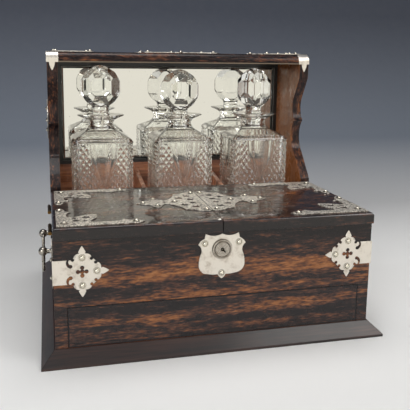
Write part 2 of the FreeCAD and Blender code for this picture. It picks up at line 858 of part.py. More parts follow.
keep(padded("YZ_Plane", -SIDE, SIDE * 2, canopy_outline(MIDDLE, BACK)), "canopy")
cap_inside = SIDE - S.cap_width
keep(block((-cap_inside, cap_inside), (CANOPY_FRONT - S.bead_depth, CANOPY_FRONT),
           (CANOPY_BASE, CANOPY_BASE + S.bead_height)), "canopy_bead")


def corner_cap():
    """The right cap: a shell over the canopy's corner with a pointed leaf hanging under it."""
    cap_end = CANOPY_FRONT + S.cap_back
    shell = flat_plate(canopy_outline(S.cap_plate, cap_end), lambda y, z: vector(cap_inside, y, z),
                       vector(S.cap_width + S.cap_plate, 0, 0))
    inside = flat_plate(canopy_outline(MIDDLE, cap_end + S.overrun),
                        lambda y, z: vector(cap_inside - S.overrun, y, z),
                        vector(S.cap_width + S.overrun, 0, 0))
    half_width = S.cap_leaf_width / 2
    bulge = half_width * DIAGONAL_SHARE
    leaf = (
        (-half_width, MIDDLE),
        ((-bulge, -S.cap_leaf_length / 2), (MIDDLE, -S.cap_leaf_length)),
        ((bulge, -S.cap_leaf_length / 2), (half_width, MIDDLE)),
    )
    leaf_x = SIDE - S.wall / 2
    pendant = flat_plate(leaf, lambda x, z: vector(leaf_x + x, CANOPY_FRONT - S.cap_plate, CANOPY_BASE + z),
                         vector(0, S.cap_plate, 0))
    return shell.cut(inside).fuse(pendant).removeSplitter()


cap = corner_cap()
keep(feature(Part.makeCompound([cap, mirrored(cap)])), "corner_caps")

# Strap mounts: a pierced lozenge on the front and another on the side, joined round the corner,
# and the same lozenge on each gallery panel
tail_share = -float(S.lozenge_place) / float(S.lozenge_reach)


def lozenge(spot, outward, tail):
    """A pierced lozenge with its strap: spot() places its u and v, from its centre."""
    outline = doubled(((tail, STRAP_SHARE), *LOZENGE_SHARES), upside_down)
    lower = tuple((upside_down(*step[0]), upside_down(*step[1])) if is_bend(step) else upside_down(*step)
                  for step in CRESCENT_SHARES)
    return pierced(outline, spot, outward * float(S.mount_plate), LOZENGE_HOLE_SHARES, S.lozenge_reach,
                   (CRESCENT_SHARES, lower))


def front_lozenge(u, v):
    across_u, up_v = S.lozenge_reach * u, S.lozenge_reach * v
    return vector(SIDE - S.lozenge_place - across_u, FRONT, STRAP_Z + up_v)


def side_lozenge(u, v):
    across_u, up_v = S.lozenge_reach * u, S.lozenge_reach * v
    return vector(SIDE, FRONT + S.lozenge_place + across_u, STRAP_Z + up_v)


def gallery_lozenge(u, v):
    across_u, up_v = S.lozenge_reach * u, S.lozenge_reach * v
    return vector(SIDE, BACK - S.lozenge_place - across_u, GALLERY_MOUNT_Z + up_v)


wrap_share = tail_share - float(S.mount_plate) / float(S.lozenge_reach)
strap = lozenge(front_lozenge, -ALONG_Y, wrap_share).fuse(lozenge(side_lozenge, ALONG_X, tail_share))
strap = strap.removeSplitter()
keep(feature(mirrored(strap)), "left_strap_mount")
keep(feature(strap), "right_strap_mount")
gallery_mount = lozenge(gallery_lozenge, ALONG_X, tail_share)
keep(feature(Part.makeCompound([mirrored(gallery_mount), gallery_mount])), "gallery_mounts")

# Shield round the lock
MOUNT_FRONT = FRONT - S.mount_plate


def on_shield(u, v):
    return (S.shield_width * u, SHIELD_TOP - S.shield_height * v)


shield_outline = tuple(
    (on_shield(*step[0]), on_shield(*step[1])) if is_bend(step) else on_shield(*step)
    for step in doubled(SHIELD_SHARES, sideways)
)
keep(less(
    padded("XZ_Plane", MOUNT_FRONT, S.mount_plate, shield_outline),
    rod("y", (0, KEYHOLE_Z), *through_panel, S.barrel_radius + S.barrel_gap),
), "shield")


# Lid mounts: a pierced mount in each corner and half of the centre mount on each lid
CORNER_WIDTH = SIDE * CORNER_SIZE_SHARES[0]
CORNER_DEPTH = LID_DEPTH * CORNER_SIZE_SHARES[1]
CENTRE_WIDTH = SIDE * CENTRE_SIZE_SHARES[0]
CENTRE_DEPTH = LID_DEPTH * CENTRE_SIZE_SHARES[1]


def lid_corner(x_side, y_side):
    """Where the shares of a corner mount lie on a lid."""
    def spot(u, v):
        x = SIDE - S.lid_mount_side_inset - CORNER_WIDTH * u
        y = LID_DEPTH / 2 - S.lid_mount_front_inset - CORNER_DEPTH * v
        return vector(x * x_side, LID_MIDDLE + y * y_side, LID_TOP)
    return spot


def lid_centre(x_side):
    """Where the shares of the centre mount's half lie on a lid."""
    def spot(u, v):
        x = LID_INNER + (CENTRE_WIDTH - LID_INNER) * u
        return vector(x * x_side, LID_MIDDLE + CENTRE_DEPTH * v, LID_TOP)
    return spot


plate_up = vector(0, 0, S.mount_plate)
for name, side in SIDES:
    corners = [lid_corner(side, -1), lid_corner(side, 1)]
    centre = lid_centre(side)
    keep(feature(Part.makeCompound([
        pierced(CORNER_SHARES, spot, plate_up, CORNER_HOLE_SHARES, CORNER_WIDTH) for spot in corners
    ])), name + "_lid_corner_mounts")
    keep(feature(pierced(doubled(CENTRE_SHARES, upside_down), centre, plate_up, CENTRE_HOLE_SHARES,
                         CENTRE_WIDTH)), name + "_lid_centre_mount")
    spots = [spot(*share) for spot in corners for share in CORNER_STUD_SHARES]
    spots += [centre(*share) for share in CENTRE_STUD_SHARES]
    studs = [stud_at(spot + plate_up, ALONG_Z) for spot in spots]
    keep(feature(Part.makeCompound(studs)), name + "_lid_studs")

# Canopy mounts: a small corner mount at each corner and a waisted mount in the middle
mount_depth = (S.canopy_depth - CANOPY_ROUND) / 2
canopy_middle = CANOPY_FRONT + CANOPY_ROUND + mount_depth


def canopy_corner(x_side, y_side):
    """Where the shares of a corner mount lie on the canopy."""
    def spot(u, v):
        x = SIDE - S.canopy_mount_side_inset - S.canopy_mount_width * u
        y = mount_depth - S.canopy_mount_back_inset / 2 - mount_depth * CANOPY_MOUNT_DEPTH_SHARE * v
        return vector(x * x_side, canopy_middle + y * y_side, CANOPY_TOP)
    return spot


def canopy_centre(u, v):
    depth = mount_depth - S.canopy_mount_back_inset / 2
    return vector(S.canopy_centre_width * u, canopy_middle + depth * v, CANOPY_TOP)


canopy_corners = [canopy_corner(x_side, y_side) for x_side in (-1, 1) for y_side in (-1, 1)]
canopy_plates = [pierced(CORNER_SHARES, spot, plate_up, CORNER_HOLE_SHARES, S.canopy_mount_width)
                 for spot in canopy_corners]
centre_half = doubled(CANOPY_CENTRE_SHARES, upside_down)
canopy_plates.append(pierced(doubled(centre_half, sideways), canopy_centre, plate_up))
keep(feature(Part.makeCompound(canopy_plates)), "canopy_mounts")

# Every stud that is fixed to the case
plate_out = float(S.mount_plate)
case_studs = []
for spot, outward in ((front_lozenge, -ALONG_Y), (side_lozenge, ALONG_X), (gallery_lozenge, ALONG_X)):
    right = [stud_at(spot(*share) + outward * plate_out, outward) for share in LOZENGE_STUD_SHARES]
    case_studs += right + [mirrored(stud) for stud in right]
for share in SHIELD_STUD_SHARES:
    x, z = on_shield(*share)
    case_studs.append(stud_at(vector(x, MOUNT_FRONT, z), -ALONG_Y))
canopy_spots = [spot(*share) for spot in canopy_corners for share in CORNER_STUD_SHARES]
canopy_spots += [canopy_centre(*share) for share in CANOPY_STUD_SHARES]
case_studs += [stud_at(spot + plate_up, ALONG_Z) for spot in canopy_spots]
keep(feature(Part.makeCompound(case_studs)), "case_studs")

# Lids, with their hinges and the catches that the lock's bolt holds
eye_height = (HOOK_BASE - S.catch_play, HOOK_TOP + S.catch_play)
middle_knuckle = S.hinge_length * KNUCKLE_SHARE - S.knuckle_gap
outer_knuckle = (S.hinge_length - middle_knuckle) / 2 - S.knuckle_gap
for name, side in SIDES:
    leaf_x = across(side, SIDE - S.hinge_leaf_width, SIDE)
    catch_x = S.catch_place * side
    foot_z = (LID_BASE, LID_BASE + S.catch_foot)
    foot = (about(catch_x, S.catch_foot_length), about(CATCH_Y, S.catch_width), foot_z)
    board = rounded(
        block(across(side, LID_INNER, SIDE), (LID_FRONT, LID_BACK), (LID_BASE, LID_TOP)),
        S.lid_edge_round,
        lambda middle: middle.z > float(LID_TOP - S.lid_edge_round) and (
            middle.y < float(LID_FRONT + S.lid_edge_round) or abs(middle.x) > float(SIDE - S.lid_edge_round)),
    )
    keep(less(
        board,
        block(*foot[:2], (LID_BASE - S.overrun, LID_BASE + S.catch_foot)),
        *[block(across(side, SIDE - S.hinge_leaf_width, SIDE + S.overrun), about(y, S.hinge_length),
                (LID_BASE - S.overrun, LID_BASE + S.hinge_leaf)) for y in HINGE_PLACES],
    ), name + "_lid")
    keep(joined(
        less(
            block(about(catch_x, S.catch_plate), about(CATCH_Y, S.catch_width), (CATCH_BASE, LID_BASE)),
            block(about(catch_x, S.catch_plate + S.overrun), about(CATCH_Y, S.catch_eye_width), eye_height),
        ),
        block(*foot),
    ), name + "_lid_catch")
    lid_leaves = []
    for y in HINGE_PLACES:
        span = about(y, middle_knuckle)
        leaf_z = (LID_BASE, LID_BASE + S.hinge_leaf)
        lid_leaves.append(less(
            joined(
                block(leaf_x, about(y, S.hinge_length), leaf_z),
                block(across(side, SIDE, HINGE_X), span, leaf_z),
                rod("y", (HINGE_X * side, HINGE_Z), *span, S.knuckle_radius),
            ),
            rod("y", (HINGE_X * side, HINGE_Z), *span, S.hinge_pin_radius + S.hinge_pin_clearance),
        ))
    keep(gathered(*lid_leaves), name + "_lid_hinge_leaves")

case_leaves = []
pins = []
for name, side in SIDES:
    axis = (HINGE_X * side, HINGE_Z)
    leaf_z = (CASE_TOP - S.hinge_leaf, CASE_TOP)
    for y in HINGE_PLACES:
        whole = about(y, S.hinge_length)
        spans = ((whole[0], whole[0] + outer_knuckle), (whole[1] - outer_knuckle, whole[1]))
        case_leaves.append(less(
            joined(
                block(across(side, SIDE - S.hinge_leaf_width, SIDE), whole, leaf_z),
                *[block(across(side, SIDE, HINGE_X), span, leaf_z) for span in spans],
                *[rod("y", axis, *span, S.knuckle_radius) for span in spans],
            ),
            rod("y", axis, *whole, S.hinge_pin_radius + S.hinge_pin_clearance),
        ))
        pins.append(rod("y", axis, *whole, S.hinge_pin_radius))
keep(gathered(*case_leaves), "case_hinge_leaves")
keep(gathered(*pins), "hinge_pins")

# Lock: a case let into the front panel, a turning barrel with a dial, and the bolt that it slides
lock_x = about(MIDDLE, S.lock_width)
slot_width = S.catch_plate + S.catch_play * 2
keep(less(
    block(lock_x, (LOCK_FRONT, LOCK_BACK), (LOCK_BASE, CASE_TOP)),
    block(about(MIDDLE, S.lock_width - S.lock_wall * 2), (LOCK_FRONT + S.lock_wall, LOCK_BACK - S.lock_wall),
          (LOCK_BASE + S.lock_wall, CASE_TOP - S.lock_wall)),
    rod("y", (0, KEYHOLE_Z), LOCK_FRONT - S.overrun, BARREL_BACK, S.barrel_radius + S.barrel_clearance),
    *[block(about(S.catch_place * side, slot_width), about(CATCH_Y, S.catch_width + S.catch_play * 2),
            (CASE_TOP - S.lock_wall - S.overrun, CASE_TOP + S.overrun)) for name, side in SIDES],
), "lock_case")

cam_x = -S.bolt_throw / 2
cam_z = KEYHOLE_Z + cam_x
dial_back = MOUNT_FRONT - S.barrel_gap
dial_front = dial_back - S.dial_plate
key_hole_end = dial_front + S.key_hole_depth


def on_dial(radius, low, high):
    return rod("y", (0, KEYHOLE_Z), low, high, radius)


dial = joined(
    less(
        on_dial(S.dial_radius, dial_front, dial_back),
        on_dial(S.dial_groove_radius, dial_front - S.overrun, dial_front + S.dial_ring),
    ),
    on_dial(S.dial_groove_radius - S.dial_ring, dial_front, dial_back),
)
slot_size = (S.key_slot_length, S.key_hole_depth + S.overrun, S.key_slot_width)
key_slot = Part.makeBox(*map(float, slot_size), vector(0, dial_front - S.overrun, -S.key_slot_width / 2))
key_slot.rotate(FreeCAD.Vector(), ALONG_Y, KEY_SLOT_TURN)
key_slot.translate(vector(0, 0, KEYHOLE_Z))
keep(joined(
    less(
        joined(dial, on_dial(S.barrel_radius, dial_back, BARREL_BACK)),
        on_dial(S.key_hole_radius, dial_front - S.overrun, key_hole_end),
        feature(key_slot),
    ),
    on_dial(S.key_pin_radius, dial_front + S.dial_ring, key_hole_end),
    rod("y", (cam_x, cam_z), BARREL_BACK - S.bolt_gap, BOLT_BACK + S.bolt_play, S.cam_pin_radius),
), "lock_barrel")

hook_length = S.bolt_throw + S.bolt_plate
hook_starts = [S.catch_place * side - S.catch_plate / 2 - S.bolt_gap - hook_length for name, side in SIDES]
bolt_y = (BOLT_FRONT, BOLT_BACK)
keep(less(
    joined(
        block(about(cam_x, S.bolt_tab_width), bolt_y, (TAB_BASE, BAR_BASE)),
        block((hook_starts[0], hook_starts[1] + hook_length),
              (LOCK_FRONT + S.lock_wall + S.bolt_play, LOCK_BACK - S.lock_wall - S.bolt_play),
              (BAR_BASE, BAR_TOP)),
        *[block((start, start + S.bolt_plate), bolt_y, (BAR_TOP, HOOK_TOP)) for start in hook_starts],
        *[block((start, start + hook_length), bolt_y, (HOOK_BASE, HOOK_TOP)) for start in hook_starts],
    ),
    block(about(cam_x, SLOT_REACH * 2), (BOLT_FRONT - S.overrun, BOLT_BACK + S.overrun),
          (SLOT_BASE, cam_z + SLOT_REACH)),
), "lock_bolt")

# Drawer, its ejector spring and the pin that keeps it shut
drawer_y = (PANEL_BACK, DRAWER_BACK)
side_z = (DRAWER_BASE, DRAWER_SIDE_TOP)
keep(block((-DRAWER_OUTSIDE, DRAWER_OUTSIDE), (FRONT, PANEL_BACK),
           (DRAWER_BASE, S.drawer_opening_top - S.drawer_gap)), "drawer_front")
keep(gathered(
    block((-DRAWER_OUTSIDE, -DRAWER_INSIDE), drawer_y, side_z),
    less(
        block((DRAWER_INSIDE, DRAWER_OUTSIDE), drawer_y, side_z),
        rod("z", (PIN_X, PIN_Y), DRAWER_SIDE_TOP - S.pin_throw - S.pin_gap, DRAWER_SIDE_TOP + S.overrun,
            S.pin_radius + S.pin_clearance),
    ),
), "drawer_sides")
drawer_inside = (-DRAWER_INSIDE, DRAWER_INSIDE)
keep(block(drawer_inside, (DRAWER_BACK - S.drawer_side, DRAWER_BACK), side_z), "drawer_back")
bottom_base = DRAWER_BASE + S.drawer_bottom_rise
keep(block(drawer_inside, (PANEL_BACK, DRAWER_BACK - S.drawer_side),
           (bottom_base, bottom_base + S.drawer_bottom_board)), "drawer_bottom")

head_base = DUST_TOP + S.pin_head_rise
keep(joined(
    rod("z", (PIN_X, PIN_Y), DRAWER_SIDE_TOP + S.pin_gap, head_base, S.pin_radius),
    rod("z", (PIN_X, PIN_Y), head_base, head_base + S.pin_head_height, S.pin_head_radius),
), "drawer_locking_pin")

spring_end = S.ejector_length / 2
spring_crown = DRAWER_BACK + S.drawer_gap
spring_inner = spring_end - S.ejector_foot
spring_outline = (
    (-spring_end, BACK_BOARD),
    ((MIDDLE, spring_crown), (spring_end, BACK_BOARD)),
    (spring_inner, BACK_BOARD),
    ((MIDDLE, spring_crown + S.ejector_strip), (-spring_inner, BACK_BOARD)),
)
spring_base = DRAWER_BASE + S.ejector_rise
spring = flat_plate(spring_outline, lambda x, y: vector(x, y, spring_base), vector(0, 0, S.ejector_width))
keep(feature(spring), "drawer_ejector_spring")


# Carrying handles: two ball posts and a drop bail on each side
def bent_rod(points, bend, radius):
    """A round rod along straight runs joined by tangent bends of one radius."""
    edges = []
    here = points[0]
    for before, corner, after in zip(points, points[1:], points[2:]):
        back = (before - corner).normalize()
        on = (after - corner).normalize()
        reach = float(bend) / math.tan(back.getAngle(on) / 2)
        rise = math.hypot(float(bend), reach) - float(bend)
        first, last = corner + back * reach, corner + on * reach
        edges.append(Part.LineSegment(here, first))
        edges.append(Part.Arc(first, corner + (back + on).normalize() * rise, last))
        here = last
    edges.append(Part.LineSegment(here, points[-1]))
    path = Part.Wire([edge.toShape() for edge in edges])
    circle = Part.Wire([Part.makeCircle(float(radius), points[0], points[1] - points[0])])
    return path.makePipeShell([circle], True, False)


post_places = [-S.handle_spacing / 2, S.handle_spacing / 2]
bail_end = S.handle_spacing / 2
shoulder = bail_end - S.handle_ball_radius - S.bail_shoulder - S.bail_bend
posts = []
for name, side in SIDES:
    for y in post_places:
        inner = (y, y + S.handle_ball_radius) if float(y) < 0 else (y - S.handle_ball_radius, y)
        stop = S.bail_end_gap if float(y) > 0 else -S.bail_end_gap
        hole = (inner[0], inner[1] + stop) if float(y) > 0 else (inner[0] + stop, inner[1])
        posts.append(less(
            joined(
                rod("x", (y, S.handle_height), *across(side, SIDE, SIDE + S.rose_plate), S.rose_radius),
                rod("x", (y, S.handle_height), *across(side, SIDE, HANDLE_X), S.post_radius),
                ball(HANDLE_X * side, y, S.handle_height, S.handle_ball_radius),
            ),
            rod("y", (HANDLE_X * side, S.handle_height), *hole, S.bail_radius + S.bail_clearance),
        ))
keep(gathered(*posts), "handle_posts")
for name, side in SIDES:
    low = S.handle_height - S.bail_drop
    route = ((-bail_end, S.handle_height), (-shoulder, S.handle_height), (-shoulder, low),
             (shoulder, low), (shoulder, S.handle_height), (bail_end, S.handle_height))
    points = [vector(HANDLE_X * side, y, z) for y, z in route]
    keep(feature(bent_rod(points, S.bail_bend, S.bail_radius)), name + "_bail")


# Decanters and stoppers
def rounded_square(x, half, corner, z):
    """A square section with round corners about a decanter's axis."""
    half, corner = float(half), float(corner)
    edges = []
    flat = half - corner
    swell = flat + corner * DIAGONAL_SHARE
    for turn in range(4):
        spin = FreeCAD.Rotation(ALONG_Z, 90 * turn)
        a, b, c, d = [
            spin.multVec(FreeCAD.Vector(*pair, 0)) + vector(x, DECANTER_Y, z)
            for pair in ((half, -flat), (half, flat), (swell, swell), (flat, half))
        ]
        edges += [Part.LineSegment(a, b), Part.Arc(b, c, d)]
    return Part.Wire([edge.toShape() for edge in edges])


def square_bottle(x, inset, base, top_radius):
    """A square body and its shoulder up to the neck, drawn a distance inside the outer faces."""
    half = S.decanter_width / 2 - inset
    shoulder_base = DECANTER_BASE + S.decanter_body
    sections = [rounded_square(x, half, half * SHOULDER_SHARES[0][2], base)]
    for width_share, rise_share, corner_share in SHOULDER_SHARES:
        section = half * width_share
        z = shoulder_base + S.decanter_shoulder * rise_share
        sections.append(rounded_square(x, section, section * corner_share, z))
    sections.append(rounded_square(x, top_radius, top_radius * NECK_CORNER_SHARE, NECK_BASE))
    return upright(Part.makeLoft(sections, True, True))


def turned(x, profile):
    """A solid turned about a decanter's axis from a profile of radius and height."""
    edges = [edge.toShape() for edge in outline_edges(profile, lambda r, z: vector(x + r, DECANTER_Y, z))]
    return upright(Part.Face(Part.Wire(edges)).revolve(vector(x, DECANTER_Y, 0), ALONG_Z, FULL_TURN))


def neck_at(reach_share, rise_share):
    rise = LIP_TOP - S.lip_edge - NECK_BASE
    return (S.neck_radius + (S.lip_radius - S.neck_radius) * reach_share, NECK_BASE + rise * rise_share)


def faceted_ball(x, z, turn):
    """A ball with rows of flat facets ground round its upright axis."""
    centre = vector(x, DECANTER_Y, z)
    radius = float(S.ball_radius)
    solid = Part.makeSphere(radius, centre)
    for count, first, rise, share in FACET_ROW_SHARES:
        for number in range(count):
            around = FreeCAD.Rotation(ALONG_Z, turn + first + FULL_TURN * number / count)
            toward = around.multVec(FreeCAD.Rotation(ALONG_X, -rise).multVec(-ALONG_Y))
            wheel = Part.makeCylinder(radius, radius, centre + toward * radius * share, toward)
            solid = solid.cut(wheel)
    return solid


for name, x, rise in DECANTERS:
    outside = square_bottle(x, MIDDLE, DECANTER_BASE, S.neck_radius)
    neck = turned(x, (
        (MIDDLE, NECK_BASE),
        (S.neck_radius, NECK_BASE),
        (neck_at(*NECK_SHARES[0]), neck_at(*NECK_SHARES[1])),
        (S.lip_radius, LIP_TOP - S.lip_edge),
        (S.lip_radius, LIP_TOP),
        (MIDDLE, LIP_TOP),
    ))
    inside = square_bottle(x, S.glass_wall, DECANTER_BASE + S.glass_base, THROAT_RADIUS)
    seat = turned(x, (
        (MIDDLE, LIP_TOP - S.plug_length),
        (THROAT_RADIUS, LIP_TOP - S.plug_length),
        (S.bore_radius, LIP_TOP),
        (S.bore_radius, LIP_TOP + S.overrun),
        (MIDDLE, LIP_TOP + S.overrun),
    ))
    keep(feature(outside.fuse(neck).cut(inside).cut(seat)), name + "_decanter")

    plug_top = S.bore_radius - S.stopper_clearance
    plug = turned(x, (
        (MIDDLE, LIP_TOP - S.plug_length),
        (plug_top - S.plug_taper, LIP_TOP - S.plug_length),
        (plug_top, LIP_TOP),
        (S.stem_radius, LIP_TOP),
        (S.stem_radius, LIP_TOP + rise),
        (MIDDLE, LIP_TOP + rise),
    ))
    keep(feature(plug.fuse(faceted_ball(x, LIP_TOP + rise, STOPPER_TURNS[name]))), name + "_stopper")

# Check everything, then write each sub-part
doc.recompute()
for item in doc.Objects:
    if "Invalid" in item.State or "Error" in item.State:
        raise RuntimeError("%s could not be made" % item.Label)
for item in nodes:
    if item.Shape.isNull() or not item.Shape.isValid():
        raise RuntimeError("%s has no sound shape" % item.Label)

os.makedirs("parts", exist_ok=True)
for item in nodes:
    item.Shape.exportStep("parts/%s.step" % item.Label)
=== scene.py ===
import json
import math

import bpy
import numpy as np
from mathutils import Euler, Matrix, Vector

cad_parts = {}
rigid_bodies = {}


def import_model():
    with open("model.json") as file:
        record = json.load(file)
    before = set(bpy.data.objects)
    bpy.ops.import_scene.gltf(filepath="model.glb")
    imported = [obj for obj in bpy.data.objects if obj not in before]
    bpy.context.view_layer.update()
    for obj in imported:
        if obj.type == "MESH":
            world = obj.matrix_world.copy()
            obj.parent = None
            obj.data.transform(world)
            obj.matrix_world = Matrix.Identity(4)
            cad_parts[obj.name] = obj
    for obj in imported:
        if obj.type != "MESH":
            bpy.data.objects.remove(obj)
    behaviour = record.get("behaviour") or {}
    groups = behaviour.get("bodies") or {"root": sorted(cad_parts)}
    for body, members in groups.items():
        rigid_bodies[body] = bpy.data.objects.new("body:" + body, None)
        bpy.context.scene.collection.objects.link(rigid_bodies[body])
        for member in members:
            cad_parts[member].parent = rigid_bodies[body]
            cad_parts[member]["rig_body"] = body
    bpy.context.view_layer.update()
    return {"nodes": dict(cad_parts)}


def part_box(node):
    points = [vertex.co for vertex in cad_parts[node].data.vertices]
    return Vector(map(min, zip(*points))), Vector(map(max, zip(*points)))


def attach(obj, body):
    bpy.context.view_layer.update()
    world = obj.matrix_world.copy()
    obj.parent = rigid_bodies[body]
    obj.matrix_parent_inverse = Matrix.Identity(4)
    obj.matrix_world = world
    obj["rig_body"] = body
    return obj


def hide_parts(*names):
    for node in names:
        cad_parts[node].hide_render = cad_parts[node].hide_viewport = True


bl_info = {
    "name": "Decanter Case Finisher",
    "version": (1, 0, 0),
    "blender": (4, 5, 0),
    "location": "View3D > Sidebar > Decanter case",
    "description": (
        "Polished veneer, silvered mounts, a bevelled mirror and cut decanters on the joiner's frame"
    ),
    "category": "Object",
}

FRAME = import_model()
NODES = FRAME["nodes"]
MM = 0.001

# The angle from which an edge is sharp, and how near two corners have to be to count as one
SHARP = math.radians(32)
WELD = 0.002 * MM

# Streaks of the veneer: height, slope, width and how much lighter, along x and z in metres
FRONT_STREAKS = (
    (0.132, 0.0, 0.034, -0.12), (0.0965, -0.030, 0.018, 0.34), (0.083, -0.01, 0.008, -0.10),
    (0.0705, 0.005, 0.008, 0.16),
)
DRAWER_STREAKS = (
    (0.058, 0.0, 0.008, -0.10), (0.046, 0.01, 0.010, 0.16), (0.035, -0.01, 0.008, -0.06),
    (0.026, -0.01, 0.007, 0.12),
)
LID_STREAKS = ((0.148, 0.0, 0.0088, -0.30),)

# How far from the middle the gallery panels' pale inner faces end
GALLERY_INNER = 0.1762

# A decanter in mm: its body's half width, its corners' share of that, and its shoulder's height
BODY_HALF = 42.5
BODY_CORNER = 0.19
SHOULDER = 219.0
FLAT_STEPS, CORNER_STEPS = 88, 16

# The lancet: how its width falls off, its flutes' half widths as shares of its own, and their depth
POINT_CURVE = 2.2
FLUTE, SIDE_FLUTE = 0.56, 0.22
FLUTE_DEPTH, FLUTE_FADE = 0.7, 8

# The groove round the lancet in mm: its half width, and where the diamonds stop beside it
OUTLINE_HALF, OUTLINE_EDGE = 1.3, 0.4

# The grooves that curve away from the lancet's point, in mm
WING_FOOT, WING_TOP = 120, 190
WING_START, WING_CURVE, WING_HALF = 17, 0.0135, 1.2

# A stopper in mm: heights and radii of its plug, its stem, and its ball's top above the ball's middle
PLUG = ((235.6, 10.5), (255.5, 11.9), (255.7, 12.6))
STEM_FOOT, STEM_RADIUS, STEM_WAIST, STEM_GAP = 256.0, 12.9, 1.2, 0.6
BALL_TOP = 30.5

# The ground ball: how much taller than wide, its columns, rows, lowest and highest angle, and sharp angle
BALL_STRETCH = 1.06
BALL_COLUMNS, BALL_ROWS = 216, 150
BALL_LOWEST, BALL_HIGHEST = -62, 89.4
FACET_SHARP = math.radians(6)

# Rows of facets: count, turn of the first, rise, and distance as a share of the large facets'
FACET_ROWS = (
    (6, 0, 0, 1.0), (6, 30, 0, 1.135), (6, 30, 30, 1.14), (6, 30, -30, 1.14), (6, 0, 42, 1.075),
    (6, 0, -42, 1.075), (6, 30, 60, 1.12), (6, 30, -60, 1.12), (6, 0, 72, 1.135), (1, 0, 90, 1.165),
)
STOPPER_TURNS = {"left": -4, "middle": -5, "right": 11}

# Lamps: name, place, target, width and height, watts and colour
LAMPS = (
    ("top softbox", (-0.1, 0.15, 1.9), (0, 0, 0.1), (1.4, 0.8), 15, (1.0, 0.985, 0.96)),
    ("left softbox", (-1.4, -1.6, 1.2), (0, 0, 0.15), (1.0, 1.1), 14, (0.95, 0.97, 1.0)),
    ("right softbox", (1.2, -0.95, 1.75), (0, 0, 0.12), (0.9, 0.9), 13, (1.0, 0.98, 0.95)),
)

# How far the picture's middle is off the lens's axis, as a share of its width
PICTURE_SHIFT = (0.0241, -0.0955)


def tone(red, green, blue):
    """A display colour of 0 to 255 as the linear light that the shaders work in."""
    return tuple(
        c / 255 / 12.92 if c <= 10 else ((c / 255 + 0.055) / 1.055) ** 2.4 for c in (red, green, blue)
    )


def colour(name, text, red, green, blue):
    return bpy.props.FloatVectorProperty(
        name=name, description=text, subtype="COLOR", size=3, min=0, max=1, default=tone(red, green, blue)
    )


def length(name, text, millimetres):
    return bpy.props.FloatProperty(
        name=name, description=text, subtype="DISTANCE", unit="LENGTH", min=0, default=millimetres * MM,
        precision=4,
    )


def share(name, text, value):
    return bpy.props.FloatProperty(
        name=name, description=text, subtype="FACTOR", min=0, max=1, default=value
    )


class VeneerSettings(bpy.types.PropertyGroup):
    """The figure and the polish of the case's woods."""

    ink: colour("Ink", "The near-black streaks of the veneer", 24, 18, 20)
    shade: colour("Shade", "The dark brown between the streaks", 46, 32, 30)
    heart: colour("Heart", "The brown of the veneer's ground", 84, 53, 41)
    flame: colour("Flame", "The orange-brown of its light bands", 136, 84, 49)
    glow: colour("Glow", "The lightest flecks", 170, 113, 68)
    band_width: length("Band width", "How far apart the broad bands lie across the grain", 20)
    band_length: length("Band length", "How long a broad band runs", 120)
    fleck_width: length("Fleck width", "How wide a dark fleck is", 2.8)
    fleck_length: length("Fleck length", "How long a dark fleck is", 14)
    edge_ease: length("Eased edge", "How far sharp edges of the boards are rounded", 0.5)
    polish: share("Polish roughness", "Roughness of the varnish", 0.07)


class LiningSettings(bpy.types.PropertyGroup):
    """The plain woods: linings, plinth, drawer and mirror slip."""

    red_dark: colour("Lining shade", "The dark grain of the reddish lining boards", 116, 72, 54)
    red_light: colour("Lining light", "The light grain of the reddish lining boards", 190, 128, 92)
    plinth_dark: colour("Plinth shade", "The dark grain of the plinth", 30, 24, 25)
    plinth_light: colour("Plinth light", "The reddish streaks of the plinth", 66, 44, 38)
    drawer_dark: colour("Drawer shade", "The dark grain of the drawer's mahogany", 88, 45, 26)
    drawer_light: colour("Drawer light", "The light grain of the drawer's mahogany", 146, 84, 50)
    slip: colour("Mirror slip", "The blackened wood round the mirror", 20, 17, 16)
    stringing: colour("Stringing", "The pale line under the canopy", 128, 112, 94)


class MetalSettings(bpy.types.PropertyGroup):
    """The silvered mounts, the brass fittings and the mirror."""

    silver: colour("Silver", "The plated mounts", 238, 231, 221)
    # Tarnish colours cloudy spots of the plate; the darkening in its hollows is grime and painted shade,
    # mixed in plated.
    tarnish: colour("Tarnish", "What darkens the plate in its hollows", 140, 118, 92)
    brass: colour("Brass", "Hinges and lock", 122, 94, 54)
    brass_dark: colour("Old brass", "What darkens the brass", 74, 56, 34)
    mirror: colour("Mirror", "The silvering behind the mirror's glass", 240, 239, 233)
    edge_ease: length("Eased edge", "How far the mounts' edges are rounded", 0.28)
    plate_roughness: share("Plate roughness", "Roughness of the plated mounts", 0.24)


class GlassSettings(bpy.types.PropertyGroup):
    """The cut decanters and their stoppers."""

    tint: colour("Glass", "The colour of the glass", 254, 255, 254)
    glow: colour("Inner glow", "The light deep inside the glass", 214, 205, 192)
    cut_depth: length("Cut depth", "How deep the diamonds are cut", 2.6)
    stopper_reach: length("Stopper reach", "How far the stoppers' large facets lie from their middle", 24.7)
    diamond_width: bpy.props.IntProperty(
        name="Diamond steps", description="Steps of the surface across one diamond", default=10, min=4, max=16
    )
    row_rise: length("Row rise", "How far apart the rows of the cut surface are", 1.1)
    lancet_width: length("Lancet half width", "Half the width of the pointed panel at the shoulder", 21)
    lancet_drop: length("Lancet drop", "How far the pointed panel hangs from the shoulder", 65)


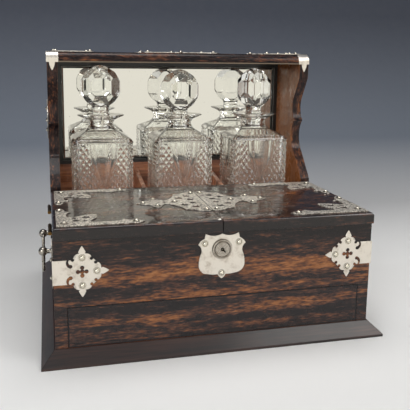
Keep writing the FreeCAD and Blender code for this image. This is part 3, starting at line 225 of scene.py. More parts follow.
class StageSettings(bpy.types.PropertyGroup):
    """The floor, the light and the camera."""

    floor: colour("Floor", "The paper that the case stands on", 228, 229, 231)
    backdrop: colour("Backdrop", "The paper behind it", 81, 86, 100)
    room: colour("Room", "The pale room that polished surfaces show", 240, 237, 228)
    dusk: colour("Dusk", "The darker sides of that room", 112, 116, 126)
    camera_place: bpy.props.FloatVectorProperty(
        name="Camera", description="Where the camera stands", subtype="TRANSLATION", unit="LENGTH",
        default=(-0.191547, -0.807793, 0.338952),
    )
    camera_turn: bpy.props.FloatVectorProperty(
        name="Camera turn", description="How the camera is turned", subtype="EULER", unit="ROTATION",
        default=[math.radians(angle) for angle in (79.8804352, -0.7108921, -13.5742514)],
    )
    lens: bpy.props.FloatProperty(name="Lens", description="Focal length in mm", default=53.66)


SETTINGS = {
    "veneer": VeneerSettings,
    "lining": LiningSettings,
    "metal": MetalSettings,
    "glass": GlassSettings,
    "stage": StageSettings,
}


class Reading:
    """A socket of a shader tree. Python's operators on it add Math nodes."""

    def __init__(self, finish, socket):
        self.finish, self.socket = finish, socket

    def __add__(self, other):
        return self.finish.sum("ADD", self, other)

    def __sub__(self, other):
        return self.finish.sum("SUBTRACT", self, other)

    def __rsub__(self, other):
        return self.finish.sum("SUBTRACT", other, self)

    def __mul__(self, other):
        return self.finish.sum("MULTIPLY", self, other)

    def __truediv__(self, other):
        return self.finish.sum("DIVIDE", self, other)

    def __pow__(self, other):
        return self.finish.sum("POWER", self, other)

    def __abs__(self):
        return self.finish.sum("ABSOLUTE", self)

    __radd__ = __add__
    __rmul__ = __mul__

    def above(self, other):
        return self.finish.sum("GREATER_THAN", self, other)

    def least(self, other):
        return self.finish.sum("MINIMUM", self, other)

    def most(self, other):
        return self.finish.sum("MAXIMUM", self, other)

    def held(self):
        """The value kept between 0 and 1."""
        return self.finish.add("ShaderNodeClamp", {}, {0: self})

    def ramp(self, low, high):
        """0 below low, 1 above high and smooth between them."""
        settings = {"interpolation_type": "SMOOTHSTEP"}
        return self.finish.add("ShaderNodeMapRange", settings, {0: self, 1: low, 2: high})


class Finish:
    """A material being made. Every node comes from add: its type, its settings, then its sockets."""

    def __init__(self, name, kept=None):
        self.material = (bpy.data.materials if kept is None else kept).new(name)
        self.material.use_nodes = True
        self.tree = self.material.node_tree
        self.tree.nodes.clear()
        self.place = self.add("ShaderNodeTexCoord", out="Object")

    def add(self, kind, settings=None, sockets=None, out=0):
        node = self.tree.nodes.new(kind)
        for setting, value in (settings or {}).items():
            if setting == "stops":
                self.fill(node.color_ramp, value)
            else:
                setattr(node, setting, value)
        for socket, value in (sockets or {}).items():
            if isinstance(value, Reading):
                self.tree.links.new(value.socket, node.inputs[socket])
            else:
                node.inputs[socket].default_value = value
        return Reading(self, node.outputs[out]) if len(node.outputs) else node

    @staticmethod
    def fill(ramp, stops):
        while len(ramp.elements) < len(stops):
            ramp.elements.new(1.0)
        for element, (position, shade) in zip(ramp.elements, stops):
            element.position = position
            element.color = (*shade, 1)

    def sum(self, operation, *values):
        return self.add("ShaderNodeMath", {"operation": operation}, dict(enumerate(values)))

    def axes(self):
        """The three object coordinates, in metres."""
        node = self.tree.nodes.new("ShaderNodeSeparateXYZ")
        self.tree.links.new(self.place.socket, node.inputs[0])
        return [Reading(self, output) for output in node.outputs]

    def vector(self, x, y, z):
        return self.add("ShaderNodeCombineXYZ", {}, {0: x, 1: y, 2: z})

    def noise(self, where, detail=2.0, roughness=0.5, scale=1.0):
        """Smooth noise round 0.5, read at a place."""
        sockets = {"Vector": where, "Scale": scale, "Detail": detail, "Roughness": roughness}
        return self.add("ShaderNodeTexNoise", {}, sockets)

    def cloud(self, scale, detail=2.0, roughness=0.5):
        """Noise of the same size every way: scale is how many of its cells go to a metre."""
        return self.noise(self.place, detail, roughness, scale)

    def graded(self, value, stops):
        """A value as a colour, from stops of position and colour."""
        return self.add("ShaderNodeValToRGB", {"stops": stops}, {0: value})

    def mix(self, factor, first, second):
        """The first colour where the factor is 0 and the second where it is 1."""
        sockets = {0: factor, 6: opaque(first), 7: opaque(second)}
        return self.add("ShaderNodeMix", {"data_type": "RGBA"}, sockets, 2)

    def relief(self, height, depth, before=None):
        """A Bump node: height of 0 to 1 stands for a depth in metres."""
        sockets = {"Height": height, "Distance": depth, "Strength": 1.0}
        if before is not None:
            sockets["Normal"] = before
        return self.add("ShaderNodeBump", {}, sockets)

    def shader(self, **sockets):
        """The surface itself, with the words of the socket names joined by underscores."""
        named = {name.replace("_", " "): value for name, value in sockets.items()}
        if "Base Color" in named:
            named["Base Color"] = opaque(named["Base Color"])
        return self.add("ShaderNodeBsdfPrincipled", {}, named)

    def done(self, shader, output="ShaderNodeOutputMaterial"):
        self.add(output, {}, {0: shader})
        return self.material


def opaque(value):
    """A colour with full opacity; a reading is left as it is."""
    return value if isinstance(value, Reading) else (*value, 1)


FINISHES = {}


def finish_of(name, maker, *values, **choices):
    """A material made once and used wherever its name is asked for."""
    if name not in FINISHES:
        FINISHES[name] = maker(name, *values, **choices)
    return FINISHES[name]


def middle_of(node):
    """The middle of a node's box, in metres."""
    low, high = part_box(node)
    return [(a + b) / 2 for a, b in zip(low, high)]


def grain_place(finish, along, seed):
    """The coordinate along the grain and the two across it, shifted so that boards differ."""
    x, y, z = finish.axes()
    order = {"x": (x, z, y), "y": (y, z, x), "z": (z, x, y)}[along]
    return [value + seed * (0.37 + 0.21 * number) for number, value in enumerate(order)]


def coromandel(name, along, seed, lightness, coat, streaks, inner=None, rim=None):
    """Figured veneer: broad bands, short dark flecks and fine fibres, all drawn out along the grain.

    Each streak (height, slope, width, amount) lightens or darkens the figure round a line
    z = height + slope * x. Within inner of the middle, the figure is paler and calmer. The edges
    of a front with a rim, its box on x and z, are darker.
    """
    look = bpy.context.scene.decanter_veneer
    finish = Finish(name)
    u, v, w = grain_place(finish, along, seed)
    drift = finish.noise(finish.vector(u * 6, v * 12, w * 12), 1.0) - 0.5
    v = v + drift * 0.010
    long, wide = look.fleck_length, look.fleck_width
    band = finish.noise(
        finish.vector(u / look.band_length, v / look.band_width, w / look.band_width), 3.0, 0.6
    )
    fleck = finish.noise(finish.vector(u / long, v / wide, w / wide), 2.0, 0.55)
    dash = finish.noise(finish.vector(u / (long * 0.45) + 7, v / (wide * 0.55), w / wide), 1.0, 0.5)
    streak = finish.noise(finish.vector(u / (long * 2.8), v / (wide * 2.4), w / (wide * 2.4)), 2.0, 0.6)
    fibre = finish.noise(finish.vector(u / 0.03, v / 0.0005, w / 0.0005), 1.0)
    x, _, z = finish.axes()
    value = (band - 0.5) + (fleck - 0.5) + (streak - 0.5) * 0.9 + (dash - 0.5) * 0.6
    if inner is not None:
        side = abs(x).ramp(inner, inner + 0.0004)
        value = value * (0.25 + side * 0.75) + (1 - side) * 0.32
    value = value + (fibre - 0.5) * 0.25 + 0.44 + lightness
    for height, slope, width, amount in streaks:
        off = abs(z + drift * 0.016 - height - slope * x) / width
        value = value + (1 - off.ramp(0.15, 1.0)) * amount
    if rim is not None:
        x_low, z_low, x_high, z_high = rim
        inset = (x - x_low).least(x_high - x).least(z - z_low).least(z_high - z)
        value = value - (1 - inset.ramp(0.0007, 0.0018)) * 0.6
    shades = [(0.18, look.ink), (0.38, look.shade), (0.55, look.heart), (0.76, look.flame), (1.0, look.glow)]
    paint = finish.graded(value, [(place, tuple(shade)) for place, shade in shades])
    worn = finish.cloud(60, 4.0, 0.6)
    rough = look.polish + worn.ramp(0.45, 0.8) * 0.10
    grain = fibre * 0.5 + finish.noise(finish.vector(u * 18, v * 40, w * 40), 2.0) * 0.3
    return finish.done(finish.shader(
        Base_Color=paint, Roughness=rough + 0.2, Specular_IOR_Level=0.15, Coat_Weight=coat,
        Coat_Roughness=0.02, Normal=finish.relief(grain, 0.000005),
    ))


def plain_wood(name, along, seed, dark, light, roughness, coat):
    """Straight-grained wood: long bands and fibres between two colours."""
    finish = Finish(name)
    u, v, w = grain_place(finish, along, seed)
    v = v + (finish.noise(finish.vector(u * 6, v * 10, w * 10), 1.0) - 0.5) * 0.010
    band = finish.noise(finish.vector(u * 5, v * 70, w * 70), 4.0, 0.62)
    streak = finish.noise(finish.vector(u * 22, v * 420, w * 420), 2.0, 0.5)
    fibre = finish.noise(finish.vector(u * 40, v * 1800, w * 1800), 1.0)
    value = 0.5 + (band - 0.5) * 1.8 + (streak - 0.5) + (fibre - 0.5) * 0.4
    middle = tuple(0.6 * a + 0.4 * b for a, b in zip(dark, light))
    paint = finish.graded(value, [(0.25, dark), (0.55, middle), (0.85, light)])
    worn = finish.cloud(50, 4.0, 0.6)
    return finish.done(finish.shader(
        Base_Color=paint, Roughness=roughness + worn * 0.12, Specular_IOR_Level=0.4, Coat_Weight=coat,
        Coat_Roughness=roughness * 0.5, Normal=finish.relief(fibre + streak, 0.00006),
    ))


def plated(name, metal, dark, roughness, spotting, grime=0.0016, reach=(0.12, 0.55), turned=None,
           chased=False):
    """Polished old plate: fine scratches, soft dents, cloudy tarnish and grime where it is hollow.

    A turned piece has fine rings round its axis, which stands at an x and a z. A chased piece, a
    Polished old plate: fine scratches, soft dents, cloudy tarnish, and grime with painted shade where it is
    hollow.
    two of many scattered points are equally far away.
    """
    finish = Finish(name)
    x, y, z = finish.axes()
    cloud = finish.cloud(90, 5.0, 0.65)
    speck = finish.cloud(700, 3.0, 0.6)
    scratch = finish.noise(finish.vector(x * 300, y * 300, z * 4200), 2.0, 0.5)
    age = (cloud.ramp(0.48, 0.78) * spotting + speck.ramp(0.62, 0.75) * spotting * 0.5).held()
    # Ambient occlusion finds the hollows, and there the plate is mixed towards near black: grime and painted
    # shade.
    hollow = finish.add("ShaderNodeAmbientOcclusion", {"samples": 6}, {"Distance": grime}, "AO")
    paint = finish.mix((1 - hollow).ramp(*reach), finish.mix(age, metal, dark), tone(44, 36, 28))
    dents = finish.cloud(55)
    bumps = finish.relief(scratch, 0.00001, finish.relief(dents, 0.00012))
    if turned is not None:
        out = ((x - turned[0]) * (x - turned[0]) + (z - turned[1]) * (z - turned[1])) ** 0.5
        ring = finish.sum("SINE", out * 3900 + (dents - 0.5) * 3) * 0.5 + 0.5
        paint = finish.mix(ring * 0.55 + 0.25, paint, tone(92, 80, 62))
        bumps = finish.relief(ring, 0.00025, bumps)
    if chased:
        leaves = finish.add("ShaderNodeTexVoronoi", {"feature": "DISTANCE_TO_EDGE"}, {
            "Vector": finish.vector(x, y, z * 0.2), "Scale": 215.0, "Randomness": 1.0})
        line = 1 - leaves.ramp(0.02, 0.15)
        paint = finish.mix(line * 0.8, paint, tone(48, 38, 30))
        bumps = finish.relief(line, -0.00004, bumps)
    return finish.done(finish.shader(
        Base_Color=paint, Metallic=0.45 if chased else 1.0,
        Roughness=roughness + cloud * 0.10 + age * 0.15, Normal=bumps,
    ))


def silvering(name):
    """Mirror glass: a silvered back that is a little cloudy and foxed in places."""
    look = bpy.context.scene.decanter_metal
    finish = Finish(name)
    cloud = finish.cloud(20, 5.0, 0.6)
    spots = finish.cloud(420).ramp(0.70, 0.78)
    clouded = finish.mix(cloud * 0.12, look.mirror, tone(208, 202, 180))
    paint = finish.mix(spots * 0.5, clouded, tone(110, 98, 74))
    return finish.done(finish.shader(
        Base_Color=paint, Metallic=1.0, Roughness=0.012 + cloud * 0.012,
        Normal=finish.relief(finish.cloud(9, 1.0), 0.00006),
    ))


def crystal(name):
    """Clear lead glass that lets the lamps' light through, so that it shades nothing black.

    Light that has been through many faces counts as an even glow.
    """
    look = bpy.context.scene.decanter_glass
    finish = Finish(name)
    ripple = finish.cloud(110)
    dust = finish.cloud(260, 4.0, 0.6)
    paint = finish.mix(dust.ramp(0.55, 0.85) * 0.08, look.tint, tone(236, 234, 230))
    glass = finish.shader(
        Base_Color=paint, Roughness=dust.ramp(0.5, 0.8) * 0.02, IOR=1.53,
        Transmission_Weight=1.0, Normal=finish.relief(ripple, 0.00003),
    )
    clear = finish.add("ShaderNodeBsdfTransparent", {}, {0: opaque((0.97, 0.97, 0.97))})
    shadow = finish.add("ShaderNodeLightPath", out="Is Shadow Ray")
    deep = finish.add("ShaderNodeLightPath", out="Ray Depth").above(8.5)
    glow = finish.add("ShaderNodeEmission", {}, {0: opaque(look.glow), 1: 1.0})
    lit = finish.add("ShaderNodeMixShader", {}, {0: deep, 1: glass, 2: glow})
    return finish.done(finish.add("ShaderNodeMixShader", {}, {0: shadow, 1: lit, 2: clear}))


def paper(name):
    """Floor and backdrop: pale paper that turns to a cooler, darker grey behind the case.

    In front of the case, polished surfaces and glass see it as an evenly lit room.
    """
    look = bpy.context.scene.decanter_stage
    finish = Finish(name)
    _, y, z = finish.axes()
    near, far = tuple(look.floor), tuple(look.backdrop)
    middle = tuple(0.5 * a + 0.5 * b for a, b in zip(near, far))
    stops = [(0.02, near), (0.12, middle), (0.40, tone(139, 148, 164)), (0.9, far)]
    paint = finish.graded((y + z * 2) / 4, stops)
    mottle = finish.cloud(30, 4.0, 0.6)
    paint = finish.mix(mottle * 0.05, paint, tone(190, 190, 192))
    matt = finish.shader(Base_Color=paint, Roughness=0.75, Specular_IOR_Level=0.2)
    away = (0 - y).ramp(0.15, 0.8)
    return finish.done(finish.add("ShaderNodeMixShader", {}, {
        0: polished_rays(finish) * away, 1: matt,
        2: finish.add("ShaderNodeEmission", {}, {0: opaque(look.room), 1: 1.0}),
    }))


def polished_rays(finish):
    """1 for a ray that comes from a polished surface or through glass, and 0 for any other."""
    mirrored = finish.add("ShaderNodeLightPath", out="Is Glossy Ray")
    through = finish.add("ShaderNodeLightPath", out="Is Transmission Ray")
    return mirrored.most(through)


def studio_air(name, ambient):
    """The world: a dim even light for matt surfaces and, for polished ones, a room.

    The room is pale in front of the case and darker to the sides, overhead and behind it.
    """
    look = bpy.context.scene.decanter_stage
    finish = Finish(name, bpy.data.worlds)
    light = finish.add("ShaderNodeBackground", {}, {0: opaque(look.room), 1: ambient})
    room = finish.add("ShaderNodeBackground", {}, {0: opaque(look.room), 1: 1.0})
    dusk = finish.add("ShaderNodeBackground", {}, {0: opaque(look.dusk), 1: 1.0})
    _, y, z = finish.axes()
    bright = (0 - y).ramp(0.05, 0.6) * (1 - z.ramp(0.45, 0.8) * 0.6)
    bright = bright.most(finish.add("ShaderNodeLightPath", out="Is Transmission Ray") * 0.7)
    bright = bright.most(finish.add("ShaderNodeLightPath", out="Is Camera Ray"))
    shown = finish.add("ShaderNodeMixShader", {}, {0: bright, 1: dusk, 2: room})
    seen = polished_rays(finish).most(finish.add("ShaderNodeLightPath", out="Is Camera Ray"))
    mixed = finish.add("ShaderNodeMixShader", {}, {0: seen, 1: light, 2: shown})
    return finish.done(mixed, "ShaderNodeOutputWorld")


def put_in_mesh(name, points, faces):
    """A mesh object from an array of points and an array of triangles or quads."""
    mesh = bpy.data.meshes.new(name)
    mesh.vertices.add(len(points))
    mesh.vertices.foreach_set("co", np.ascontiguousarray(points, np.float32).ravel())
    mesh.loops.add(faces.size)
    mesh.loops.foreach_set("vertex_index", np.ascontiguousarray(faces, np.int32).ravel())
    mesh.polygons.add(len(faces))
    mesh.polygons.foreach_set("loop_start", np.arange(0, faces.size, faces.shape[1], dtype=np.int32))
    mesh.update(calc_edges=True)
    if mesh.validate():
        raise RuntimeError(name + " has faulty faces")
    thing = bpy.data.objects.new(name, mesh)
    bpy.context.scene.collection.objects.link(thing)
    return thing


def trued_copy(node, name, ease):
    """A copy of a joiner's piece with its loose triangles joined at their corners and its edges eased."""
    source = NODES[node].data
    points = np.zeros(len(source.vertices) * 3, np.float32)
    source.vertices.foreach_get("co", points)
    corners = np.zeros(len(source.loops), np.int32)
    source.loops.foreach_get("vertex_index", corners)
    rounded = np.round(points.reshape(-1, 3) / WELD).astype(np.int64)
    _, first, same = np.unique(rounded, axis=0, return_index=True, return_inverse=True)
    triangles = same.reshape(-1)[corners].reshape(-1, 3)
    whole = (triangles[:, 0] != triangles[:, 1]) & (triangles[:, 1] != triangles[:, 2])
    whole &= triangles[:, 0] != triangles[:, 2]
    piece = put_in_mesh(name, points.reshape(-1, 3)[first], triangles[whole])
    piece.data.shade_smooth()
    if ease:
        bevel = piece.modifiers.new("eased edges", "BEVEL")
        bevel.width = ease
        bevel.segments = 2
        bevel.limit_method = "ANGLE"
        bevel.angle_limit = SHARP
        bevel.harden_normals = True
        bevel.use_clamp_overlap = False
    else:
        piece.data.set_sharp_from_angle(angle=SHARP)
    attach(piece, NODES[node]["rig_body"])
    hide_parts(node)
    return piece


def dress(piece, material):
    """Gives a piece or a CAD node its finish."""
    piece.data.materials.clear()
    piece.data.materials.append(material)


def dress_nodes(names, material, ease, suffix):
    for node in names:
        dress(trued_copy(node, node + suffix, ease), material)


def rounded_square(half, corner, flat_steps, corner_steps):
    """Points round a square section with round corners, as arrays over the rows and the steps.

    A side runs from corner arc to corner arc in even steps, then the arc turns a quarter circle.
    half and corner hold one value per row.
    """
    flat = half - corner
    along = np.linspace(-1, 1, flat_steps, endpoint=False)
    turn = np.linspace(0, math.pi / 2, corner_steps, endpoint=False)
    side_x = flat[:, None] * along[None, :]
    side_y = -half[:, None] * np.ones_like(along)[None, :]
    arc_x = flat[:, None] + corner[:, None] * np.sin(turn)[None, :]
    arc_y = -flat[:, None] - corner[:, None] * np.cos(turn)[None, :]
    x, y = np.hstack([side_x, arc_x]), np.hstack([side_y, arc_y])
    xs, ys = [x], [y]
    for _ in range(3):
        x, y = -y, x
        xs.append(x)
        ys.append(y)
    return np.hstack(xs), np.hstack(ys)


def woven_faces(rows, columns, flip):
    """Triangles of a grid that closes round its columns; flip marks quads cut the other way."""
    row, column = np.meshgrid(np.arange(rows - 1), np.arange(columns), indexing="ij")
    right = (column + 1) % columns
    a, b = row * columns + column, row * columns + right
    c, d = b + columns, a + columns
    plain = np.stack([a, b, c, a, c, d], -1).reshape(rows - 1, columns, 2, 3)
    other = np.stack([a, b, d, b, c, d], -1).reshape(rows - 1, columns, 2, 3)
    return np.where(flip[: rows - 1, :, None, None], other, plain).reshape(-1, 3)


def closed_by_poles(points, faces, first, last):
    """Closes the two ends of a woven grid with fans to one point each."""
    rows, columns = points.shape[:2]
    flat = points.reshape(-1, 3)
    start, end = len(flat), len(flat) + 1
    column = np.arange(columns)
    right = (column + 1) % columns
    low = np.stack([np.full(columns, start), right, column], -1)
    top = (rows - 1) * columns
    high = np.stack([top + column, top + right, np.full(columns, end)], -1)
    return np.vstack([flat, [first], [last]]), np.vstack([faces, low, high])


def decanter_rows(rise):
    """A decanter's rows from under its base, up the outside, over the lip and down the inside.

    Each row is height and half width in mm, its corners' share of that, and how fully it is cut.
    """
    cut_foot, cut_top = 87.0, 217.8
    rows = [(85.9, 20, 0.5, 0), (85.4, 33, 0.3, 0), (85.0, 38, 0.22, 0), (85.0, 41.4, BODY_CORNER, 0),
            (85.35, 42.2, BODY_CORNER, 0), (86.2, BODY_HALF, BODY_CORNER, 0)]
    count = int((cut_top - cut_foot) / rise)
    rows += [(cut_top - rise * (count - number), BODY_HALF, BODY_CORNER, 1) for number in range(count + 1)]
    rows += [(218.6, BODY_HALF, BODY_CORNER, 0.3), (SHOULDER, BODY_HALF, BODY_CORNER, 0)]
    knots = np.array([(SHOULDER, BODY_HALF, BODY_CORNER), (223.0, 40.0, 0.24), (227.9, 31.5, 0.42),
                      (232.6, 23.2, 0.75), (236.0, 19.4, 0.90), (241.0, 17.5, 0.97)])
    heights = np.concatenate([[219.6, 220.4, 221.4], np.linspace(222.6, 240.2, 15)])
    rows += [(h, np.interp(h, knots[:, 0], knots[:, 1]), np.interp(h, knots[:, 0], knots[:, 2]), 0)
             for h in heights]
    rows += [(241.0, 17.5, 1, 0), (243.0, 17.6, 1, 0), (245.0, 18.2, 1, 0), (246.6, 19.2, 1, 0),
             (248.0, 20.6, 1, 0), (249.4, 22.8, 1, 0), (250.7, 25.4, 1, 0), (252.0, 28.35, 1, 0),
             (253.3, 31.2, 1, 0), (254.1, 33.0, 1, 0), (254.7, 33.3, 1, 0), (255.2, 33.0, 1, 0),
             (255.5, 32.2, 1, 0), (255.5, 25.0, 1, 0), (255.45, 14.0, 1, 0), (255.2, 12.2, 1, 0)]
    rows += [(248.0, 11.5, 1, 0), (241.0, 10.99, 0.97, 0), (238.0, 14.8, 0.9, 0), (234.8, 18.98, 0.80, 0),
             (231.8, 22.4, 0.62, 0), (228.7, 25.9, 0.45, 0), (225.8, 30.6, 0.33, 0), (223.4, 34.3, 0.24, 0),
             (221.2, 35.9, 0.2, 0), (SHOULDER, 36.5, BODY_CORNER, 0)]
    rows += [(float(h), 36.5, BODY_CORNER, 0) for h in np.linspace(210, 99, 12)]
    rows += [(97.0, 36.1, 0.2, 0), (95.6, 34.6, 0.24, 0), (95.0, 31.0, 0.3, 0), (95.0, 15.0, 0.6, 0)]
    return np.array(rows, float)


def cutting(across, height, steps, look):
    """How deep the cutter went, from 0 to 1, at a place on a face in mm.

    Outside the lancet, two families of slanting grooves leave pyramids; inside it, a wide scooped
    flute stands between two narrow ones, all narrowing to its point; a groove follows its outline,
    and another curves away from its point on each side.
    """
    column, row, wide = steps
    half, off = wide / 2, np.abs(across)
    falling, rising = [np.abs((step + half) % wide - half) / half for step in (column + row, column - row)]
    diamonds = 1 - np.minimum(falling, rising)
    drop = (SHOULDER - height) / (look.lancet_drop / MM)
    reach = look.lancet_width / MM * np.clip(1 - np.clip(drop, 0, 1) ** POINT_CURVE, 0, 1)
    part = off / np.maximum(reach, 0.1)
    broad = 1 - (part / FLUTE) ** 2
    narrow = 1 - ((part - FLUTE - SIDE_FLUTE) / SIDE_FLUTE) ** 2
    scoop = np.where(part < FLUTE, broad, narrow)
    flutes = FLUTE_DEPTH * np.clip(scoop, 0, 1) * np.clip(reach / FLUTE_FADE, 0, 1)
    outline = np.where(reach > 0.2, np.clip(1 - np.abs(off - reach) / OUTLINE_HALF, 0, 1), 0)
    cut = np.where(off < reach - OUTLINE_EDGE, flutes, diamonds)
    wing_place = WING_START + WING_CURVE * (WING_TOP - height) ** 2
    wing = np.clip(1 - np.abs(off - wing_place) / WING_HALF, 0, 1)
    wing = np.where((height < WING_TOP) & (height > WING_FOOT), wing, 0)
    return np.maximum(np.maximum(cut, outline), wing)


def decanter_surface(name, x, y, look):
    """The whole skin of a decanter as one grid: rows of rounded squares, cut inwards by the relief."""
    side = FLAT_STEPS + CORNER_STEPS
    rows = decanter_rows(look.row_rise / MM)
    height, half, corner_share, deep = rows.T
    xs, ys = rounded_square(half, half * corner_share, FLAT_STEPS, CORNER_STEPS)
    columns = xs.shape[1]
    column = np.arange(columns)[None, :] + np.zeros_like(xs)
    row = np.arange(len(rows))[:, None] + np.zeros_like(xs)
    on_side = (column % side) - FLAT_STEPS / 2
    across = on_side * (2 * BODY_HALF * (1 - BODY_CORNER) / FLAT_STEPS)
    wide, tall = look.diamond_width, height[:, None] + 0 * xs
    cut = cutting(across, tall, (column - FLAT_STEPS / 2, row, wide), look)
    cut = cut * deep[:, None] * look.cut_depth / MM
    inward = 1 - cut / np.maximum(np.hypot(xs, ys), 1)
    face, may_cut = half[:, None] - 1e-9, deep[:, None] > 0
    flat_x, flat_y = (np.abs(xs) >= face) & may_cut, (np.abs(ys) >= face) & may_cut
    px = np.where(flat_x, xs - np.sign(xs) * cut, np.where(flat_y, xs, xs * inward))
    py = np.where(flat_y, ys - np.sign(ys) * cut, np.where(flat_x, ys, ys * inward))
    points = np.stack([px * MM + x, py * MM + y, tall * MM], -1)
    flip = ((column + row - FLAT_STEPS / 2 + 1) % wide == 0) & may_cut
    faces = woven_faces(len(rows), columns, flip)
    under, floor = 86.0 * MM, 95.0 * MM
    points, faces = closed_by_poles(points, faces, (x, y, under), (x, y, floor))
    return put_in_mesh(name, points, faces)


def stopper_surface(name, x, y, centre, turn, look):
    """A stopper as one grid: a tapered plug, a waisted stem and a ball ground to flat facets.

    In each direction the ball reaches to the nearest facet's plane: the facet's distance over the
    cosine of the angle between the two.
    """
    around = np.linspace(0, 2 * math.pi, BALL_COLUMNS, endpoint=False)[None, :]
    rise = np.radians(np.linspace(BALL_LOWEST, BALL_HIGHEST, BALL_ROWS))[:, None]
    far, grazing = 2.0, 0.2
    reach = np.full((BALL_ROWS, BALL_COLUMNS), far)
    for count, first, up, distance in FACET_ROWS:
        for number in range(count):
            toward = math.radians(turn + first + 360 / count * number - 90)
            level, climb = math.cos(math.radians(up)), math.sin(math.radians(up))
            cosine = np.cos(rise) * level * np.cos(around - toward) + np.sin(rise) * climb
            plane = np.where(cosine > grazing, distance / np.maximum(cosine, grazing), far)
            reach = np.minimum(reach, plane)
    reach = reach * look.stopper_reach / MM
    ball_out, ball_height = reach * np.cos(rise), centre + BALL_STRETCH * reach * np.sin(rise)
    waist = np.linspace(0, 1, 9)[:, None]
    plug_height, plug_out = np.array(PLUG).T[:, :, None]
    stem_rise = ball_height[0].min() - STEM_GAP - STEM_FOOT
    out = np.vstack([plug_out, STEM_RADIUS - STEM_WAIST * np.sin(math.pi * waist)]) + 0 * around
    height = np.vstack([plug_height, STEM_FOOT + stem_rise * waist]) + 0 * around
    out, height = np.vstack([out, ball_out]), np.vstack([height, ball_height])
    points = np.stack(
        [x + out * np.cos(around) * MM, y + out * np.sin(around) * MM, height * MM], -1
    )
    faces = woven_faces(len(points), BALL_COLUMNS, np.zeros(out.shape, bool))
    under, top = PLUG[0][0] * MM, height[-1].mean() * MM
    points, faces = closed_by_poles(points, faces, (x, y, under), (x, y, top))
    ball = put_in_mesh(name, points, faces)
    ball.data.shade_smooth()
    ball.data.set_sharp_from_angle(angle=FACET_SHARP)
    return ball


class DecanterCaseOperator:
    """What the operators share."""

    bl_options = {"REGISTER", "UNDO"}

    @classmethod
    def poll(cls, context):
        return bool(NODES)


class DECANTER_CASE_OT_veneer(DecanterCaseOperator, bpy.types.Operator):
    """Veneers and polishes the case, the gallery, the lids and the drawer front"""

    bl_idname = "decanter_case.veneer"
    bl_label = "Veneer the case"

    def execute(self, context):
        ease = context.scene.decanter_veneer.edge_ease
        boards = (
            ("front_panel", "x", 1.0, -0.04, 0.6, FRONT_STREAKS, None),
            ("drawer_front", "x", 1.0, -0.05, 0.6, DRAWER_STREAKS, None),
            ("left_lid", "x", 3.0, -0.08, 0.8, LID_STREAKS, None),
            ("right_lid", "x", 4.0, -0.08, 0.8, LID_STREAKS, None),
            ("left_side_board", "y", 5.0, -0.05, 0.6, (), None),
            ("right_side_board", "y", 6.0, -0.05, 0.6, (), None),
            ("back_board", "x", 7.0, -0.05, 0.6, (), None),
            ("left_gallery_panel", "z", 8.0, -0.12, 0.2, (), GALLERY_INNER),
            ("right_gallery_panel", "z", 9.0, -0.02, 0.15, (), GALLERY_INNER),
            ("canopy", "x", 10.0, -0.12, 0.08, (), None),
        )
        for node, along, seed, lightness, coat, streaks, inner in boards:
            low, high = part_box(node)
            rim = (low[0], low[2], high[0], high[2]) if node == "drawer_front" else None
            material = finish_of(
                node + "_veneer", coromandel, along, seed, lightness, coat, streaks, inner, rim
            )
            dress(trued_copy(node, node + "_veneered", ease), material)
        return {"FINISHED"}


class DECANTER_CASE_OT_line(DecanterCaseOperator, bpy.types.Operator):
    """Finishes the plinth, the linings, the drawer and the boards inside"""

    bl_idname = "decanter_case.line"
    bl_label = "Line the case"

    def execute(self, context):
        look = context.scene.decanter_lining
        red = (tuple(look.red_dark), tuple(look.red_light))
        plinth = (tuple(look.plinth_dark), tuple(look.plinth_light))
        inside = (tuple(look.drawer_dark), tuple(look.drawer_light))
        slip = (tuple(look.slip), tuple(2.2 * c for c in look.slip))
        line = (tuple(0.7 * c for c in look.stringing), tuple(look.stringing))
        pieces = (
            ("plinth_front", "x", 21, plinth, 0.34, 0.3, "plinth_wood"),
            ("plinth_back", "x", 22, plinth, 0.34, 0.3, "plinth_wood"),
            ("plinth_left", "y", 23, plinth, 0.34, 0.3, "plinth_wood"),
            ("plinth_right", "y", 24, plinth, 0.34, 0.3, "plinth_wood"),
            ("decanter_floor", "x", 25, red, 0.22, 0.4, "red_lining"),
            ("well_dividers", "z", 26, red, 0.22, 0.4, "red_lining"),
            ("back_lining", "x", 27, red, 0.22, 0.4, "red_lining"),
            ("base_board", "x", 28, inside, 0.45, 0.0, "mahogany"),
            ("dust_board", "x", 29, inside, 0.45, 0.0, "mahogany"),
            ("drawer_sides", "y", 30, inside, 0.4, 0.1, "mahogany"),
            ("drawer_back", "x", 31, inside, 0.4, 0.1, "mahogany"),
            ("drawer_bottom", "x", 32, inside, 0.45, 0.0, "mahogany"),
            ("mirror_slip", "x", 33, slip, 0.28, 0.4, "ebonised_wood"),
            ("canopy_bead", "x", 34, line, 0.35, 0.2, "boxwood_line"),
        )
        for node, along, seed, (dark, light), roughness, coat, slot in pieces:
            material = finish_of(node + "_wood", plain_wood, along, seed, dark, light, roughness, coat)
            ease = 0.0 if node == "canopy_bead" else 0.4 * MM
            dress(trued_copy(node, node + "_finished", ease), material)
        return {"FINISHED"}


class DECANTER_CASE_OT_mirror(DecanterCaseOperator, bpy.types.Operator):
    """Silvers the bevelled mirror in the gallery"""

    bl_idname = "decanter_case.mirror"
    bl_label = "Silver the mirror"

    def execute(self, context):
        dress(NODES["mirror"], finish_of("silvered_glass", silvering))
        return {"FINISHED"}


